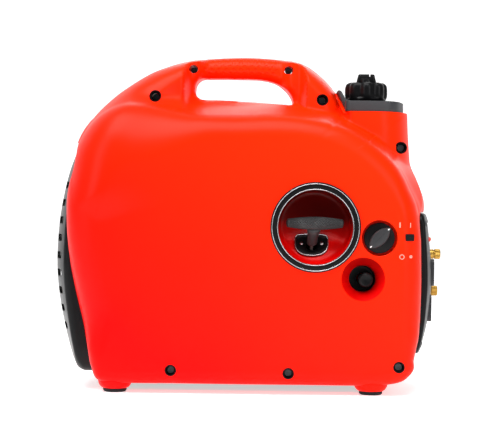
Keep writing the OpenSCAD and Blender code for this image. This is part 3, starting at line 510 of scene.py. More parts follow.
def band(loop, offset, lo, hi, axis="y", edge=0.6):
    """Grid of a wall on a closed loop: offset outwards for its thickness, from lo to hi, edges eased."""
    d = np.roll(loop, -1, 0) - np.roll(loop, 1, 0)
    n = np.stack([d[:, 1], -d[:, 0]], 1) / (np.linalg.norm(d, axis=1, keepdims=True) + 1e-9)
    if ((loop - loop.mean(0)) * n).sum() < 0:
        n = -n
    e = min(edge, abs(hi - lo) / 3)
    section = [(0, lo + e), (e, lo), (offset - e, lo), (offset, lo + e), (offset, hi - e), (offset - e, hi),
        (e, hi), (0, hi - e), (0, lo + e)]
    rows = []
    for out, at in section:
        q = loop + n * out
        c = np.full(len(loop), float(at))
        rows.append(np.stack({"x": (c, q[:, 0], q[:, 1]), "y": (q[:, 0], c, q[:, 1]),
            "z": (q[:, 0], q[:, 1], c)}[axis], -1))
    return np.stack(rows)


def finger_band():
    """The wall round the finger opening, 2.4 mm thick, as wide at every point as the covers are there."""
    half = cover_height(finger_line[:, 0], finger_line[:, 1]) - 0.5
    d = np.roll(finger_line, -1, 0) - np.roll(finger_line, 1, 0)
    n = np.stack([d[:, 1], -d[:, 0]], 1) / np.linalg.norm(d, axis=1, keepdims=True)
    n *= np.sign(((finger_line - finger_line.mean(0)) * n).sum())
    rows = [(0.05, -1), (2.4, -0.96), (2.4, 0.96), (0.05, 1), (0.05, 0.4), (0.05, -0.4), (0.05, -1)]
    x, z = finger_line.T
    return np.stack([np.stack([x + n[:, 0] * off, half * k, z + n[:, 1] * off], -1) for off, k in rows])


def well_tube(x, z, r, wall, near, far, m):
    """Tube of a screw well from near to far off the middle plane, on the side m."""
    section = [(r, -near), (r + wall, -near), (r + wall, -far), (r, -far), (r, -near)]
    return lathe_points(section, (x, 0, z), "y", 40) * np.array([1, m, 1])


# Lining of the finger opening and the tubes of the screw wells, which are moulded into the covers.
lining = gather("cover_linings", [finger_band()]
    + [well_tube(x, z, 5.4 if t < 20 else 7.4, 0.9, 12, t + 4, m) for x, z, t in neck_screws for m in (1, -1)]
    + [well_tube(x, z, 7.0, 1.0, 124, 137, m) for x, z in base_screws for m in (1, -1)])
lining.data.materials.append(painted_light_red_plastic)
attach(lining, "housing")


def well_sleeve(x, z, r, m):
    """Black sleeve that lines a deep well just under its mouth and closes round the screw head."""
    top = float(cover_height(np.array([x]), np.array([z]))[0]) - 1.6
    section = [(r, -top), (r - 0.9, -top), (r - 1.6, -(top - 1.2)), (r - 1.9, -(top - 9)), (4.3, -(top - 10)),
        (4.3, -(top - 11)), (r, -(top - 11)), (r, -top)]
    return lathe_points(section, (x, 0, z), "y", 48) * np.array([1, m, 1])


sleeves = gather("screw_well_sleeves",
    [well_sleeve(x, z, 7.35, m) for x, z, t in neck_screws if t > 20 for m in (1, -1)]
    + [well_sleeve(x, z, 6.95, m) for x, z in base_screws for m in (1, -1)])
black_plastic = moulded("black_plastic", (0.0055, 0.0055, 0.006), (0.0035, 0.0035, 0.004), 0.3, 0.0009,
    0.00003, 0.12)
sleeves.data.materials.append(black_plastic)
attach(sleeves, "housing")

# ---- Feet ----
# Four red bosses bulge under the covers, each with a black rubber pad pressed into it. The pads are
# moulded nitrile rubber with two shallow rings round the tread, held by a barb inside the boss.
boss = [(0.01, 4.0), (10, 4.0), (13.6, 4.3), (17.6, 6.4), (20.2, 10.4), (21, 15), (21, 22), (20, 27),
    (14, 33), (0.01, 35)]
boss = spline(boss, 44, False)
foot_spots = [(x, y, 0) for x in (-164, 151.5) for y in (-112, 112)]
bosses = gather("foot_bosses", [lathe_points(boss, spot, "z", 64) for spot in foot_spots], 50)
bosses.data.materials.append(painted_light_red_plastic)
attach(bosses, "housing")

pad = [(0.01, 0.0), (6, 0), (6.6, 0.5), (7.4, 0.5), (8, 0), (11.2, 0), (13.0, 0.5), (14.3, 1.8),
    (14.6, 3.4), (14.4, 6.8), (0.01, 6.8)]
pads = gather("rubber_foot_pads", [lathe_points(pad, spot, "z", 64) for spot in foot_spots], 50)


def rubber(name, colour=(0.012, 0.012, 0.013), rough=0.75):
    """Dull moulded rubber: a fine sandy skin with paler scuffed patches."""
    f = Finish(name, Specular_IOR_Level=0.25)
    sand = f.noise(1600.0, 4.0, 0.7)
    worn = f.ramp(f.noise(60.0, 5.0, 0.6), 0.5, 0.75)
    f.seal(Base_Color=f.mix(worn, (*colour, 1), (colour[0] * 2.6, colour[1] * 2.6, colour[2] * 2.5, 1)),
        Roughness=worn * 0.12 + rough)
    f.bump(sand, 0.00006)
    return f.material


pad_rubber = rubber("foot_rubber")
pads.data.materials.append(pad_rubber)
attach(pads, "housing")
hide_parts("rubber_feet")

# ---- Exhaust end cover ----
# Black glass-filled nylon moulding that domes out of the end. Nine rows of louvres let the hot air out on
# each side of a solid spine, and a round hole clears the tail pipe. It clips into the covers' end openings.
end_line = spline([(14, -198), (23, -215), (40, -225), (74, -235), (113, -243), (150, -247), (185, -246.5),
    (222, -243), (265, -234), (297, -222), (306, -212)], 200, False)


def domed(name, loop, face, edge, wall, base, out, rings=46):
    """A domed plate on a rounded outline (y, z): x is face(y, z), eased back over edge at the border and
    carried down to base; rings are drawn in towards the middle, closest together at the border."""
    centre = loop.mean(0)
    reach = loop - centre
    length = np.linalg.norm(reach, axis=1)
    t = np.linspace(0, 1, 9)
    inset = np.concatenate([edge * (1 - np.cos(t * math.pi / 2))[:, None] + 0 * length,
        edge + (length - edge) * np.linspace(0.02, 0.975, rings)[:, None]])
    yz = centre + reach * (1 - inset / length)[..., None]
    lift = np.concatenate([edge * (1 - np.sin(t * math.pi / 2)), np.zeros(rings)])[:, None]
    x = face(yz[..., 0], yz[..., 1]) - out * lift
    back = base + (x[:1] - base) * np.linspace(0, 0.98, 6)[:, None]
    grid = np.concatenate([np.stack([back, yz[:1, :, 0].repeat(6, 0), yz[:1, :, 1].repeat(6, 0)], -1),
        np.stack([x, yz[..., 0], yz[..., 1]], -1)])
    return shell(name, grid, wall, (out, 0, 0))


def even(loop, n):
    """The closed loop again as n points evenly spaced along straight runs between its corners."""
    p = np.vstack([loop, loop[:1]])
    run = np.concatenate([[0], np.cumsum(np.linalg.norm(np.diff(p, axis=0), axis=1))])
    at = np.linspace(0, run[-1], n, endpoint=False)
    return np.stack([np.interp(at, run, p[:, 0]), np.interp(at, run, p[:, 1])], 1)


def end_face(y, z):
    """The end cover stands out furthest along its middle and falls back to both sides as |y| to the 2.4."""
    fall = 1 - 0.33 * (np.abs(y) / 98.4) ** 2.4
    return -192 + (np.interp(z, end_line[:, 0], end_line[:, 1]) + 192) * fall


end_cover = domed("exhaust_louvre_cover", even(round_box(-98.4, 98.4, 21.6, 305, 29), 300), end_face, 7.0,
    3.0, -193.5, -1)
louvres = [even(round_box(m * 61.5 - 20, m * 61.5 + 20, z, z + 9, 4), 60)
    for z in range(74, 260, 22) for m in (-1, 1)]
cut(end_cover, [prism("cutter", slot, -262, -190, "x") for slot in louvres]
    + [lathe("cutter", [(0, -270), (27, -270), (23.5, -246.5), (21, -244.0), (20.4, -241), (20.4, -190),
    (0, -190)], (0, 0, 126), "x")])
end_cover.data.materials.append(black_plastic)
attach(end_cover, "housing")
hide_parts("exhaust_end_cover")

# ---- Control panel ----
# A black frame and a grey instrument plate, both moulded in ABS and bowed like the end they close. The frame
# is screwed to the covers at its corners and the plate carries the sockets, switches and lamps.
panel_line = np.array([(49, 217), (62, 223.5), (82, 229), (105, 232.5), (135, 235), (165, 234),
    (190, 231.5), (213, 228.5), (225.5, 224)], float)
panel_line = spline(panel_line, 160, False)


def panel_face_at(y, z, back=0.0):
    """The panel is bowed along z by its middle line and falls back to both sides as |y| cubed."""
    fall = 1 - 0.36 * (np.abs(y) / 98.6) ** 2.7
    return 196 + (np.interp(z, panel_line[:, 0], panel_line[:, 1]) - 196) * fall - back


frame_piece = domed("panel_frame_moulding", even(round_box(-98.3, 98.3, 49.3, 225.2, 13.6), 260),
    panel_face_at, 3.0, 3.6, 199.0, 1)
cut(frame_piece, [prism("cutter", even(round_box(-86, 86, 60, 213, 8), 120), 190, 250, "x")]
    + [lathe("cutter", [(0, 190), (2.4, 190), (2.4, top - 2.4), (4.1, top - 2.4), (4.1, 250), (0, 250)],
    (0, y, z), "x", 40) for y in (-90, 90) for z in (61, 212) for top in (float(panel_face_at(y, z)),)])
frame_piece.data.materials.append(black_plastic)
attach(frame_piece, "housing")
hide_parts("panel_frame")

plate_grey = moulded("panel_plate_grey", (0.075, 0.077, 0.082), (0.055, 0.057, 0.061), 0.5, 0.0008, 0.00003)
face_piece = domed("panel_instrument_plate", even(round_box(-85.7, 85.7, 60.3, 212.7, 7.7), 260),
    lambda y, z: panel_face_at(y, z, 1.4), 1.2, 2.6, 204.0, 1, 60)


def window(y, z, half_y, half_z, r, n=40):
    """Cutter for an upright opening in the plate, centred on (y, z), with corners of radius r."""
    loop = round_box(y - half_y, y + half_y, z - half_z, z + half_z, r)
    return prism("cutter", even(loop, n), 190, 250, "x")


bores = ((52, 92, 15.2), (-6, 125, 6.5), (-6, 172.5, 6.5), (52, 122, 6.7), (-66, 192, 3.1), (-52, 192, 3.1),
    (-38, 192, 3.1))
cut(face_piece, [window(-46, z, 17.2, 17.2, 6, 60) for z in (105, 150)]
    + [lathe("cutter", [(0, 190), (r, 190), (r, 250), (0, 250)], (0, y, z), "x", 48) for y, z, r in bores]
    + [window(52, 190, 7.7, 11.6, 1.8)] + [window(y, 150, 8.2, 4.7, 1) for y in (40, 62)])
face_piece.data.materials.append(plate_grey)
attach(face_piece, "housing")
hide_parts("panel_face")


def cast_metal(name, colour, rough, grain=0.0012, depth=0.00004, metallic=1.0, stain=(0.3, 0.3, 0.3)):
    """Metal with a grain of a given size and depth, blotches of duller tone and faint stains."""
    f = Finish(name, Metallic=metallic)
    blotch = f.ramp(f.noise(35.0, 5.0, 0.6), 0.35, 0.75)
    dirty = tuple(c * s for c, s in zip(colour, stain))
    f.seal(Base_Color=f.mix(blotch * 0.5, (*colour, 1), (*dirty, 1)), Roughness=blotch * 0.18 + rough)
    f.bump(f.noise(1.0 / grain, 4.0, 0.6), depth)
    return f.material


# Output terminals: two turned brass pillars with a knurled collar, held behind the plate by a nut.
def terminal(z, end):
    """Profile of one pillar from the plate out to its end, collar knurled by a wave round the axis."""
    p = np.array([(0.01, 216), (8.3, 216), (8.3, 222), (6.2, 222), (6.2, end - 9.2), (5.4, end - 8.6),
        (5.4, end - 7.8), (6.3, end - 7.2), (6.3, end - 1.0), (5.6, end - 0.1), (3.0, end),
        (2.0, end - 0.6), (2.0, end - 13), (0.01, end - 13)], float)
    q = np.repeat(p, 2, 0)
    g = lathe_points(q, (0, -6, z), "x", 120)
    a = np.arctan2(g[..., 2] - z, g[..., 1] + 6)
    knurl = ((q[:, 1] > end - 7.3) & (q[:, 1] < end - 0.9) & (q[:, 0] > 6))[:, None] * 0.16 * np.cos(30 * a)
    g[..., 1] += knurl * np.cos(a)
    g[..., 2] += knurl * np.sin(a)
    return g


terminals = gather("output_terminals", [terminal(125, 243.6), terminal(172.5, 247)], 30)
brass = cast_metal("brass", (0.50, 0.31, 0.07), 0.3, 0.0009, 0.00002, 1.0, (0.72, 0.6, 0.45))
terminals.data.materials.append(brass)
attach(terminals, "housing")
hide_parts("brass_terminals")

# ---- Filler deck and fuel cap ----
# A dark grey moulded deck closes the top of the tank bay and leans on the root of the handle. The black
# cap has eight finger lobes and a small lever on top that opens or shuts its vent.
deck_loop = even(spline([(118.3, -70), (124, -73.6), (166, -73.6), (182, -64), (191, -42), (196, -14),
    (196, 14), (191, 42), (182, 64), (166, 73.6), (124, 73.6), (118.3, 70)], 200), 220)


def soften(piece, width, over=40):
    """Rounds the piece's edges that turn by more than over degrees."""
    edge = piece.modifiers.new("soft_edge", "BEVEL")
    edge.width, edge.segments, edge.limit_method, edge.angle_limit = width, 3, "ANGLE", math.radians(over)


deck = prism("filler_deck_moulding", deck_loop, 352.4, 365.3, "z")
soften(deck, 0.0022)
cut(deck, [lathe("cutter", [(0, 340), (21.8, 340), (21.8, 364.2), (23.2, 365.4), (23.2, 380), (0, 380)],
    (148.7, 0, 0), "z", 90)])
riser = prism("filler_deck_riser", np.array([(119.8, 352.4), (127, 352.4), (127, 365.6), (119.5, 368.6),
    (113, 379.4), (108.6, 379.4)], float), -56, 56, "y")
soften(riser, 0.0016, 30)
deck_grey = moulded("deck_grey_plastic", (0.042, 0.043, 0.046), (0.03, 0.031, 0.034), 0.5, 0.0009, 0.00004,
    0.3)
for piece in (deck, riser):
    piece.data.materials.append(deck_grey)
    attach(piece, "housing")
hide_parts("filler_deck")

cap_profile = np.array([(21.9, 369.2), (23.6, 369.2), (24.9, 370.2), (26.4, 372.6), (27.4, 376.5),
    (27.5, 381), (27.4, 385.5), (26.7, 389), (25.4, 391.4), (23.8, 392.4), (22.6, 393.0), (12, 393.5),
    (4.4, 393.5), (4.1, 393.2), (4.1, 388), (12, 386.9), (21.3, 386.9), (21.9, 386.2), (21.9, 369.2)],
    float)
cap_profile = np.vstack([spline(cap_profile[:10], 40, False), cap_profile[10:]])
cap_grid = lathe_points(cap_profile, (148.7, 0, 0), "z", 192)
turn = np.arctan2(cap_grid[..., 1], cap_grid[..., 0] - 148.7)
side_only = smooth_step(22.0, 24.6, cap_profile[:, :1]) * smooth_step(371, 374.5, cap_profile[:, 1:])
lobe = 1 - 0.115 * side_only * (0.5 - 0.5 * np.cos(8 * turn)) ** 1.6
cap_grid[..., 0] = 148.7 + (cap_grid[..., 0] - 148.7) * lobe
cap_grid[..., 1] *= lobe
cap_piece = weld("fuel_cap_shell", cap_grid, quads(len(cap_profile), 192), 40)
cap_piece.data.materials.append(black_plastic)
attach(cap_piece, "cap")
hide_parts("cap_shell")

lever = prism("vent_lever_bar", even(round_box(135.9, 161.7, -4.5, 4.5, 3), 60), 394.0, 404.7, "z")
narrow = lever.data
co = np.empty(len(narrow.vertices) * 3)
narrow.vertices.foreach_get("co", co)
co = co.reshape(-1, 3)
top = co[:, 2] > 0.4
co[top, 0] = 0.1487 + (co[top, 0] - 0.1487) * 0.8
co[top, 1] *= 0.72
narrow.vertices.foreach_set("co", co.ravel())
soften(lever, 0.0013)
cut(lever, [prism("cutter", np.array([(152.4, 401.4), (154.0, 401.4), (154.4, 410), (152.0, 410)], float),
    -10, 10, "y")])
lever_foot = lathe("vent_lever_foot", [(0.01, 388), (3.9, 388), (3.9, 393.8), (8.4, 393.8), (9.0, 394.6),
    (8.6, 397.6), (7.2, 399), (0.01, 399)], (148.7, 0, 0), "z", 64)
for piece in (lever, lever_foot):
    piece.data.materials.append(black_plastic)
    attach(piece, "vent")
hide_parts("vent_lever")

# ---- Recoil recess and starter grip ----
# A red bowl with a sloping floor sits behind a black ring with two bright lines. The black knurled T grip
# lies in it on the end of the starter rope, which comes through a guide plate on the floor.
def bowl_points(n=96):
    """The bowl's inside: round each angle, down the wall of radius 45.4 and over a 7 mm fillet to the floor
    y = -98 + (z - 205.5) tan 24, then in to the middle."""
    a = np.linspace(0, 2 * math.pi, n, endpoint=False)[None]
    t = np.linspace(0, math.pi / 2, 8)[:, None]
    slope = math.tan(math.radians(24))
    r = np.concatenate([np.full((8, n), 45.4), 45.4 - 7 * (1 - np.cos(t)) + 0 * a,
        np.linspace(37.4, 0.02, 20)[:, None] + 0 * a])
    floor = -98 + r * np.sin(a) * slope
    down = np.linspace(0, 1, 8)[:, None]
    wall = -138.6 + (floor[:8] - 7 + 138.6) * down
    y = np.concatenate([wall, floor[8:16] - 7 * (1 - np.sin(t)), floor[16:]])
    return np.stack([80 + r * np.cos(a), y, 205.5 + r * np.sin(a)], -1)


bowl = weld("recoil_bowl_moulding", bowl_points(), quads(36, 96), 50)
thick = bowl.modifiers.new("wall", "SOLIDIFY")
thick.thickness, thick.offset = 0.0025, 1.0


def recess_red(name, light, deep, low, high):
    """Glossier red of the recesses, with painted shade: light below the height low, darkening to deep at the
    height high, where shade falls in the upper part of a recess.
    """
    f = Finish(name, Specular_IOR_Level=0.2)
    part = f.node("ShaderNodeSeparateXYZ", {}, f.place())
    z = Val(f, part.socket.node.outputs[2])
    # Painted shade: the upper part of the recess is painted darker where shade falls, with a little noise on
    # the line between.
    shade = f.ramp(z + (f.noise(30.0, 3.0) - 0.5) * 0.004, low, high)
    grain = f.noise(1000.0, 3.0, 0.6)
    f.seal(Base_Color=f.mix(shade, (*light, 1), (*deep, 1)), Roughness=grain * 0.1 + 0.26)
    f.bump(grain, 0.00002)
    return f.material


# The bowl's upper half is painted dark as shade, its lower half light red.
bowl_red_painted_shade = recess_red("recess_red_painted_shade_plastic", (0.85, 0.0008, 0.0005), (0.13, 0.002, 0.0015), 0.188, 0.216)
cut(bowl, [prism("cutter", even(round_box(80 - 12, 80 + 6, 172, 189, 6), 50), -120, -80, "y")])
bowl.data.materials.append(bowl_red_painted_shade)
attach(bowl, "housing")
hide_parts("recoil_bowl")

bezel = lathe("recoil_ring", [(45.5, -139), (45.5, -142.9), (45.9, -143.4), (46.4, -143.5), (54.0, -143.5),
    (54.8, -143.2), (55.1, -142.7), (55.1, -141.2), (48.8, -141.0), (48.8, -139), (45.5, -139)],
    (80, 0, 205.5), "y", 160)
bezel.data.materials.append(black_plastic)
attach(bezel, "housing")
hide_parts("recoil_bezel")


def wire_ring(r, y, w):
    """A flat bright line round the ring: a half-round section of width w."""
    t = np.linspace(0, math.pi, 7)
    return lathe_points(np.stack([r + w * np.cos(t), y - 0.45 * w * np.sin(t)], 1), (80, 0, 205.5), "y", 160)


trim = gather("recoil_ring_lines", [wire_ring(46.4, -143.56, 0.36), wire_ring(53.1, -143.56, 0.36)], 60)
chrome = cast_metal("bright_trim", (0.62, 0.62, 0.65), 0.2, 0.0007, 0.00001, 1.0, (0.9, 0.9, 0.9))
trim.data.materials.append(chrome)
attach(trim, "housing")

pull = np.array([0.0, -math.cos(math.radians(35)), math.sin(math.radians(35))])
guide_at = np.array([76.4, -109.35, 180.0])
tilt = math.radians(24)
guide_u = np.array([0, math.sin(tilt), math.cos(tilt)])
guide_n = np.array([0, -math.cos(tilt), math.sin(tilt)])
guide_side = np.array([1.0, 0, 0])


def on_guide(across, up, out):
    """Points given across, up and out from the guide's middle."""
    return guide_at + across[..., None] * guide_side + up[..., None] * guide_u + out[..., None] * guide_n


def d_plate(grow, thick):
    """Rows of the D-shaped plate, flat on top, round below: back edge, eased front edge, in to the hole."""
    a = np.linspace(0, 2 * math.pi, 120, endpoint=False)
    c, s = np.cos(a), np.sin(a)
    half = np.where(s > 0, 5.0, 2.4)
    w = (np.abs(c) ** half + np.abs(s) ** half) ** (-1 / half)
    across, up = (21 + grow) * w * c, np.where(s > 0, 13 + grow, 17 + grow) * w * s + 5
    rows = [(1.0, 0.0, 0.1), (1.0, 0.0, thick - 0.8), (1.0, -0.3, thick - 0.25), (1.0, -0.9, thick),
        (0.72, 0, thick), (0.5, 0, thick - 0.9), (0.36, 0, thick - 1.4), (0.30, 0, thick - 3.0)]
    out = []
    for k, inset, at in rows:
        q = k + inset / 21
        out.append(on_guide(across * q, 5 + (up - 5) * q - (1 - k) * 5, np.full_like(a, at)))
    return np.stack(out)


guide = weld("rope_guide_plate", d_plate(0, 3.0), quads(8, 120), 35)
guide.data.materials.append(black_plastic)
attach(guide, "housing")
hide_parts("rope_guide")


def d_line(grow, out, w):
    """A bright line of width w that follows the plate's outline."""
    g = d_plate(grow, 3.0)[1] + guide_n * (out - 2.2)
    mid = g.mean(0)
    away = (g - mid) / np.linalg.norm(g - mid, axis=1, keepdims=True)
    t = np.linspace(0, math.pi, 6)
    return np.stack([g + away * w * math.cos(q) + guide_n * 0.5 * w * math.sin(q) for q in t])


rivet = spline([(0.01, 0.7), (1.2, 0.6), (2.0, 0.1), (2.1, -0.4)], 10, False)


def rivet_at(across, up):
    a = np.linspace(0, 2 * math.pi, 32, endpoint=False)
    return on_guide(across + rivet[:, :1] * np.cos(a), up + rivet[:, :1] * np.sin(a), 3.0 + rivet[:, 1:] + 0
        * a)


guide_trim = gather("rope_guide_trim", [d_line(-0.9, 3.05, 0.55), rivet_at(-12.5, 5.0),
    rivet_at(12.5, 5.0)], 60)
guide_trim.data.materials.append(chrome)
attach(guide_trim, "housing")


def grip_points():
    """The T bar: radius along x from the ends' 4.6 to 8.3 in the middle, with a crossed knurl 1.1 mm deep and
    round ends."""
    x = np.linspace(-1, 1, 180)
    r = 4.9 + 3.4 * (1 - np.abs(x) ** 1.7) ** 0.9
    r *= np.sqrt(np.clip(1 - np.clip((np.abs(x) - 0.94) / 0.06, 0, 1) ** 2, 1e-6, 1))
    a = np.linspace(0, 2 * math.pi, 128, endpoint=False)[None]
    along = x[:, None] * 35.5
    knurl = np.abs(np.sin(along * 0.95 + 7 * a)) * np.abs(np.sin(along * 0.95 - 7 * a)) * smooth_step(0.93,
        0.86, np.abs(x))[:, None]
    rr = r[:, None] - 1.1 * knurl
    return np.stack([79.7 + along + 0 * a, -130 + rr * np.cos(a), 210.5 + rr * np.sin(a)], -1)


def stem_points():
    """The stem: flat oval rings from the bar down to the rope's end, narrowest in the middle."""
    start, stop = np.array([78.7, -129.0, 205.0]), guide_at + pull * 6.5
    t = np.linspace(0, 1, 24)[:, None, None]
    a = np.linspace(0, 2 * math.pi, 48, endpoint=False)[None, :, None]
    axis = (stop - start) / np.linalg.norm(stop - start)
    other = np.cross(axis, guide_side)
    wide = 9.5 - 8.5 * t + 5.5 * t**2
    deep = 4.6 + 0.4 * t
    ends = np.sqrt(np.clip(1 - ((t - 0.5) / 0.501) ** 14, 0.0001, 1))
    return start + (stop - start) * t + ends * (wide * np.cos(a) * guide_side + deep * np.sin(a) * other)


grip = gather("recoil_grip_moulding", [grip_points(), stem_points()], 60)
grip.data.materials.append(rubber("grip_rubber", (0.02, 0.02, 0.021), 0.34))
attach(grip, "pull_grip")
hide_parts("recoil_grip")

# Starter rope: braided nylon, 4 mm thick, from the reel through the guide to its knot in the grip.
def rope_points(start, stop, n=260, m=24):
    """A round rope whose skin swells in eight crossed strands as it goes along."""
    t = np.linspace(0, 1, n)[:, None]
    a = np.linspace(0, 2 * math.pi, m, endpoint=False)[None]
    u, v = guide_side, np.cross(pull, guide_side)
    run = t * np.linalg.norm(stop - start)
    r = 1.82 + 0.14 * np.abs(np.sin(4 * a + run * 0.9)) * np.abs(np.sin(4 * a - run * 0.9))
    round_it = (r * np.cos(a))[..., None] * u + (r * np.sin(a))[..., None] * v
    return start + (stop - start) * t[..., None] + round_it


rope = weld("starter_rope", rope_points(guide_at - pull * 70, guide_at + pull * 8.6), quads(260, 24), 70)
f = Finish("rope_nylon", Roughness=0.85, Specular_IOR_Level=0.2)
fleck = f.noise(1400.0, 3.0, 0.6)
f.seal(Base_Color=f.mix(f.ramp(fleck, 0.4, 0.65), (0.02, 0.02, 0.022, 1), (0.16, 0.15, 0.14, 1)))
f.bump(fleck, 0.0001)
rope_nylon = f.material
rope.data.materials.append(rope_nylon)
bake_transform(rope)
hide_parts("rope_run")

# ---- Engine switch and choke ----
# Both sit in moulded red cups behind round holes in the cover. The switch is a black knob with a raised bar
# that turns the fuel valve and ignition together. The choke knob is pushed and pulled on its rod.
cups = gather("control_cups", [lathe_points([(21.9, -139.5), (22.9, -139.5), (22.9, -125.6), (5.3, -125.6),
    (5.3, -127.0), (21.0, -127.0), (21.9, -127.9), (21.9, -139.5)], (158.3, 0, 193.5), "y", 90)], 35)
cups.data.materials.append(painted_light_red_plastic)
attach(cups, "housing")
funnel = lathe("choke_funnel", [(26.6, -140.0), (27.1, -140.0), (25.6, -136.0), (17.6, -116.0),
    (16.2, -116.0), (16.4, -119.0), (17.0, -121.4), (19.0, -124.2), (26.1, -139.4), (26.6, -140.0)],
    (139, 0, 143), "y", 96)
# The funnel's colour carries painted shade: darker towards its top, where shade falls.
funnel.data.materials.append(recess_red("choke_recess_red_painted_shade", (0.62, 0.0008, 0.0006), (0.3, 0.0008, 0.0006),
    0.138, 0.164))
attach(funnel, "housing")

knob = lathe("engine_switch_disc", [(0.01, -104), (4.9, -104), (4.9, -127.6), (17.6, -127.6),
    (18.8, -128.4), (18.8, -134.4), (18.3, -135.6), (17.2, -136.0), (0.01, -136.2)], (158.3, 0, 193.5),
    "y", 120)


def bar_points():
    """The raised bar: rings of a long lens outline turned 45 degrees, drawn in towards its crest."""
    a = np.linspace(0, 2 * math.pi, 96, endpoint=False)
    u = 17.3 * np.sign(np.cos(a)) * np.abs(np.cos(a)) ** 0.9
    w = 6.4 * (1 - (np.abs(u) / 17.35) ** 2.2) * np.sign(np.sin(a)) + 2.0 * np.sin(a)
    rows = []
    for k, y in ((1.0, -135.6), (1.0, -139.6), (0.97, -140.9), (0.88, -141.7), (0.7, -141.9),
            (0.01, -141.95)):
        p, q = u * (1 - (1 - k) * 0.35), w * k
        rows.append(np.stack([158.3 + (p - q) * 0.7071, np.full_like(a, y), 193.5 + (p + q) * 0.7071], -1))
    return np.stack(rows)


knob_bar = weld("engine_switch_bar", bar_points(), [*quads(6, 96).tolist()], 35)


def tip_points(side):
    """An oval mark 15.2 mm along the bar from its middle: three rings drawn in to a point."""
    t, k = np.linspace(0, 2 * math.pi, 24, endpoint=False)[None], np.array([[1.0], [0.5], [0.01]])
    p, q = 15.2 + 1.4 * k * np.cos(t), 0.7 * k * np.sin(t)
    return np.stack([158.3 + side * (p - q) * 0.7071, -142 + 0 * p, 193.5 + side * (p + q) * 0.7071], -1)


tips = gather("engine_switch_marks", [tip_points(1), tip_points(-1)], 60)
white_print = moulded("white_print", (0.85, 0.85, 0.83), (0.8, 0.8, 0.78), 0.5, 0.001, 0.00001)
bar_black = moulded("switch_bar_plastic", (0.032, 0.032, 0.034), (0.024, 0.024, 0.026), 0.38, 0.0009,
    0.00003, 0.3)
for piece in (knob, knob_bar, tips):
    piece.data.materials.append({tips: white_print, knob_bar: bar_black}.get(piece, black_plastic))
    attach(piece, "engine_switch")
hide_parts("switch_knob")

# A black cup behind the choke hole, put there as painted shade: it makes the hole read dark as if in shade.
shade = lathe("choke_hole_shade_cup", [(16.0, -116.2), (17.4, -116.2), (17.4, -99), (6.4, -98), (6.4, -99.4),
    (15.2, -100.4), (16.0, -101.2), (16.0, -116.2)], (139, 0, 143), "y", 72)
shade.data.materials.append(black_plastic)
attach(shade, "housing")
choke_piece = lathe("choke_knob_moulding", [(2.5, -112), (6, -112), (6, -120.8), (8.2, -121), (9, -122),
    (8.9, -127.6), (8.2, -129.2), (6.6, -130.0), (5.6, -129.6), (0.01, -129.3)], (142.5, 0, 142), "y", 72)
choke_piece.data.materials.append(black_plastic)
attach(choke_piece, "choke")
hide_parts("choke_knob")


# Printed marks beside the switch: a bar for on, a ring for off, and a small blank black plate.
def decal(loops, lift=0.12):
    """Rings between loops of the same length, laid on the cover's skin and lifted off it."""
    q = np.stack(loops)
    return np.stack([q[..., 0], -(cover_height(q[..., 0], q[..., 1]) + lift), q[..., 1]], -1)


def patch(x0, x1, z0, z1, r, rows=4, n=48, lift=0.12, inner=0):
    """A filled rounded oblong on the skin, its rings drawn in to inner times its size."""
    loop, mid = even(round_box(x0, x1, z0, z1, r), n), np.array([(x0 + x1) / 2, (z0 + z1) / 2])
    return decal([mid + (loop - mid) * k for k in np.linspace(1, inner, rows)], lift)


def hoop(x, z, outer, inner):
    """A flat ring on the skin."""
    a = np.linspace(0, 2 * math.pi, 48, endpoint=False)
    circle = np.stack([np.cos(a), np.sin(a)], 1)
    return decal([np.array([x, z]) + r * circle for r in np.linspace(outer, inner, 3)])


marks = gather("power_marks", [patch(181.9, 183.5, 206.6, 213.0, 0.5), hoop(185.6, 170.9, 3.1, 2.2),
    patch(195.2, 196.2, 206.6, 212.6, 0.4), hoop(196.6, 171.2, 1.9, 0.6)], 60)
marks.data.materials.append(moulded("worn_print", (0.82, 0.34, 0.28), (0.8, 0.24, 0.18), 0.5, 0.001, 0.00001))
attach(marks, "housing")
tag = gather("blank_tag", [patch(189.6, 200.6, 190.4, 198.8, 0.9, 8, 60, 0.35, 0.02)], 60)
tag.data.materials.append(black_plastic)
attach(tag, "housing")

# ---- Service side ----
# The maintenance cover is a flat red lid with rounded edges over the air cleaner and the spark plug.
# A black quarter-turn latch with a coin slot holds it.
lid = prism("maintenance_lid", even(round_box(-83, 70, 54, 222, 24), 200), 142.4, 145.5, "y")
soften(lid, 0.0014)
cut(lid, [lathe("cutter", [(0, 130), (6.2, 130), (6.2, 160), (0, 160)], (-6.5, 0, 197), "y", 48)])
lid_lip = gather("maintenance_lid_lip", [band(even(round_box(-74.4, 61.4, 62.6, 213.4, 17.4), 160), -3.2,
    136.2, 142.6)], 35)
for piece in (lid, lid_lip):
    piece.data.materials.append(painted_light_red_plastic)
    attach(piece, "service_cover")
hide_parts("maintenance_cover")

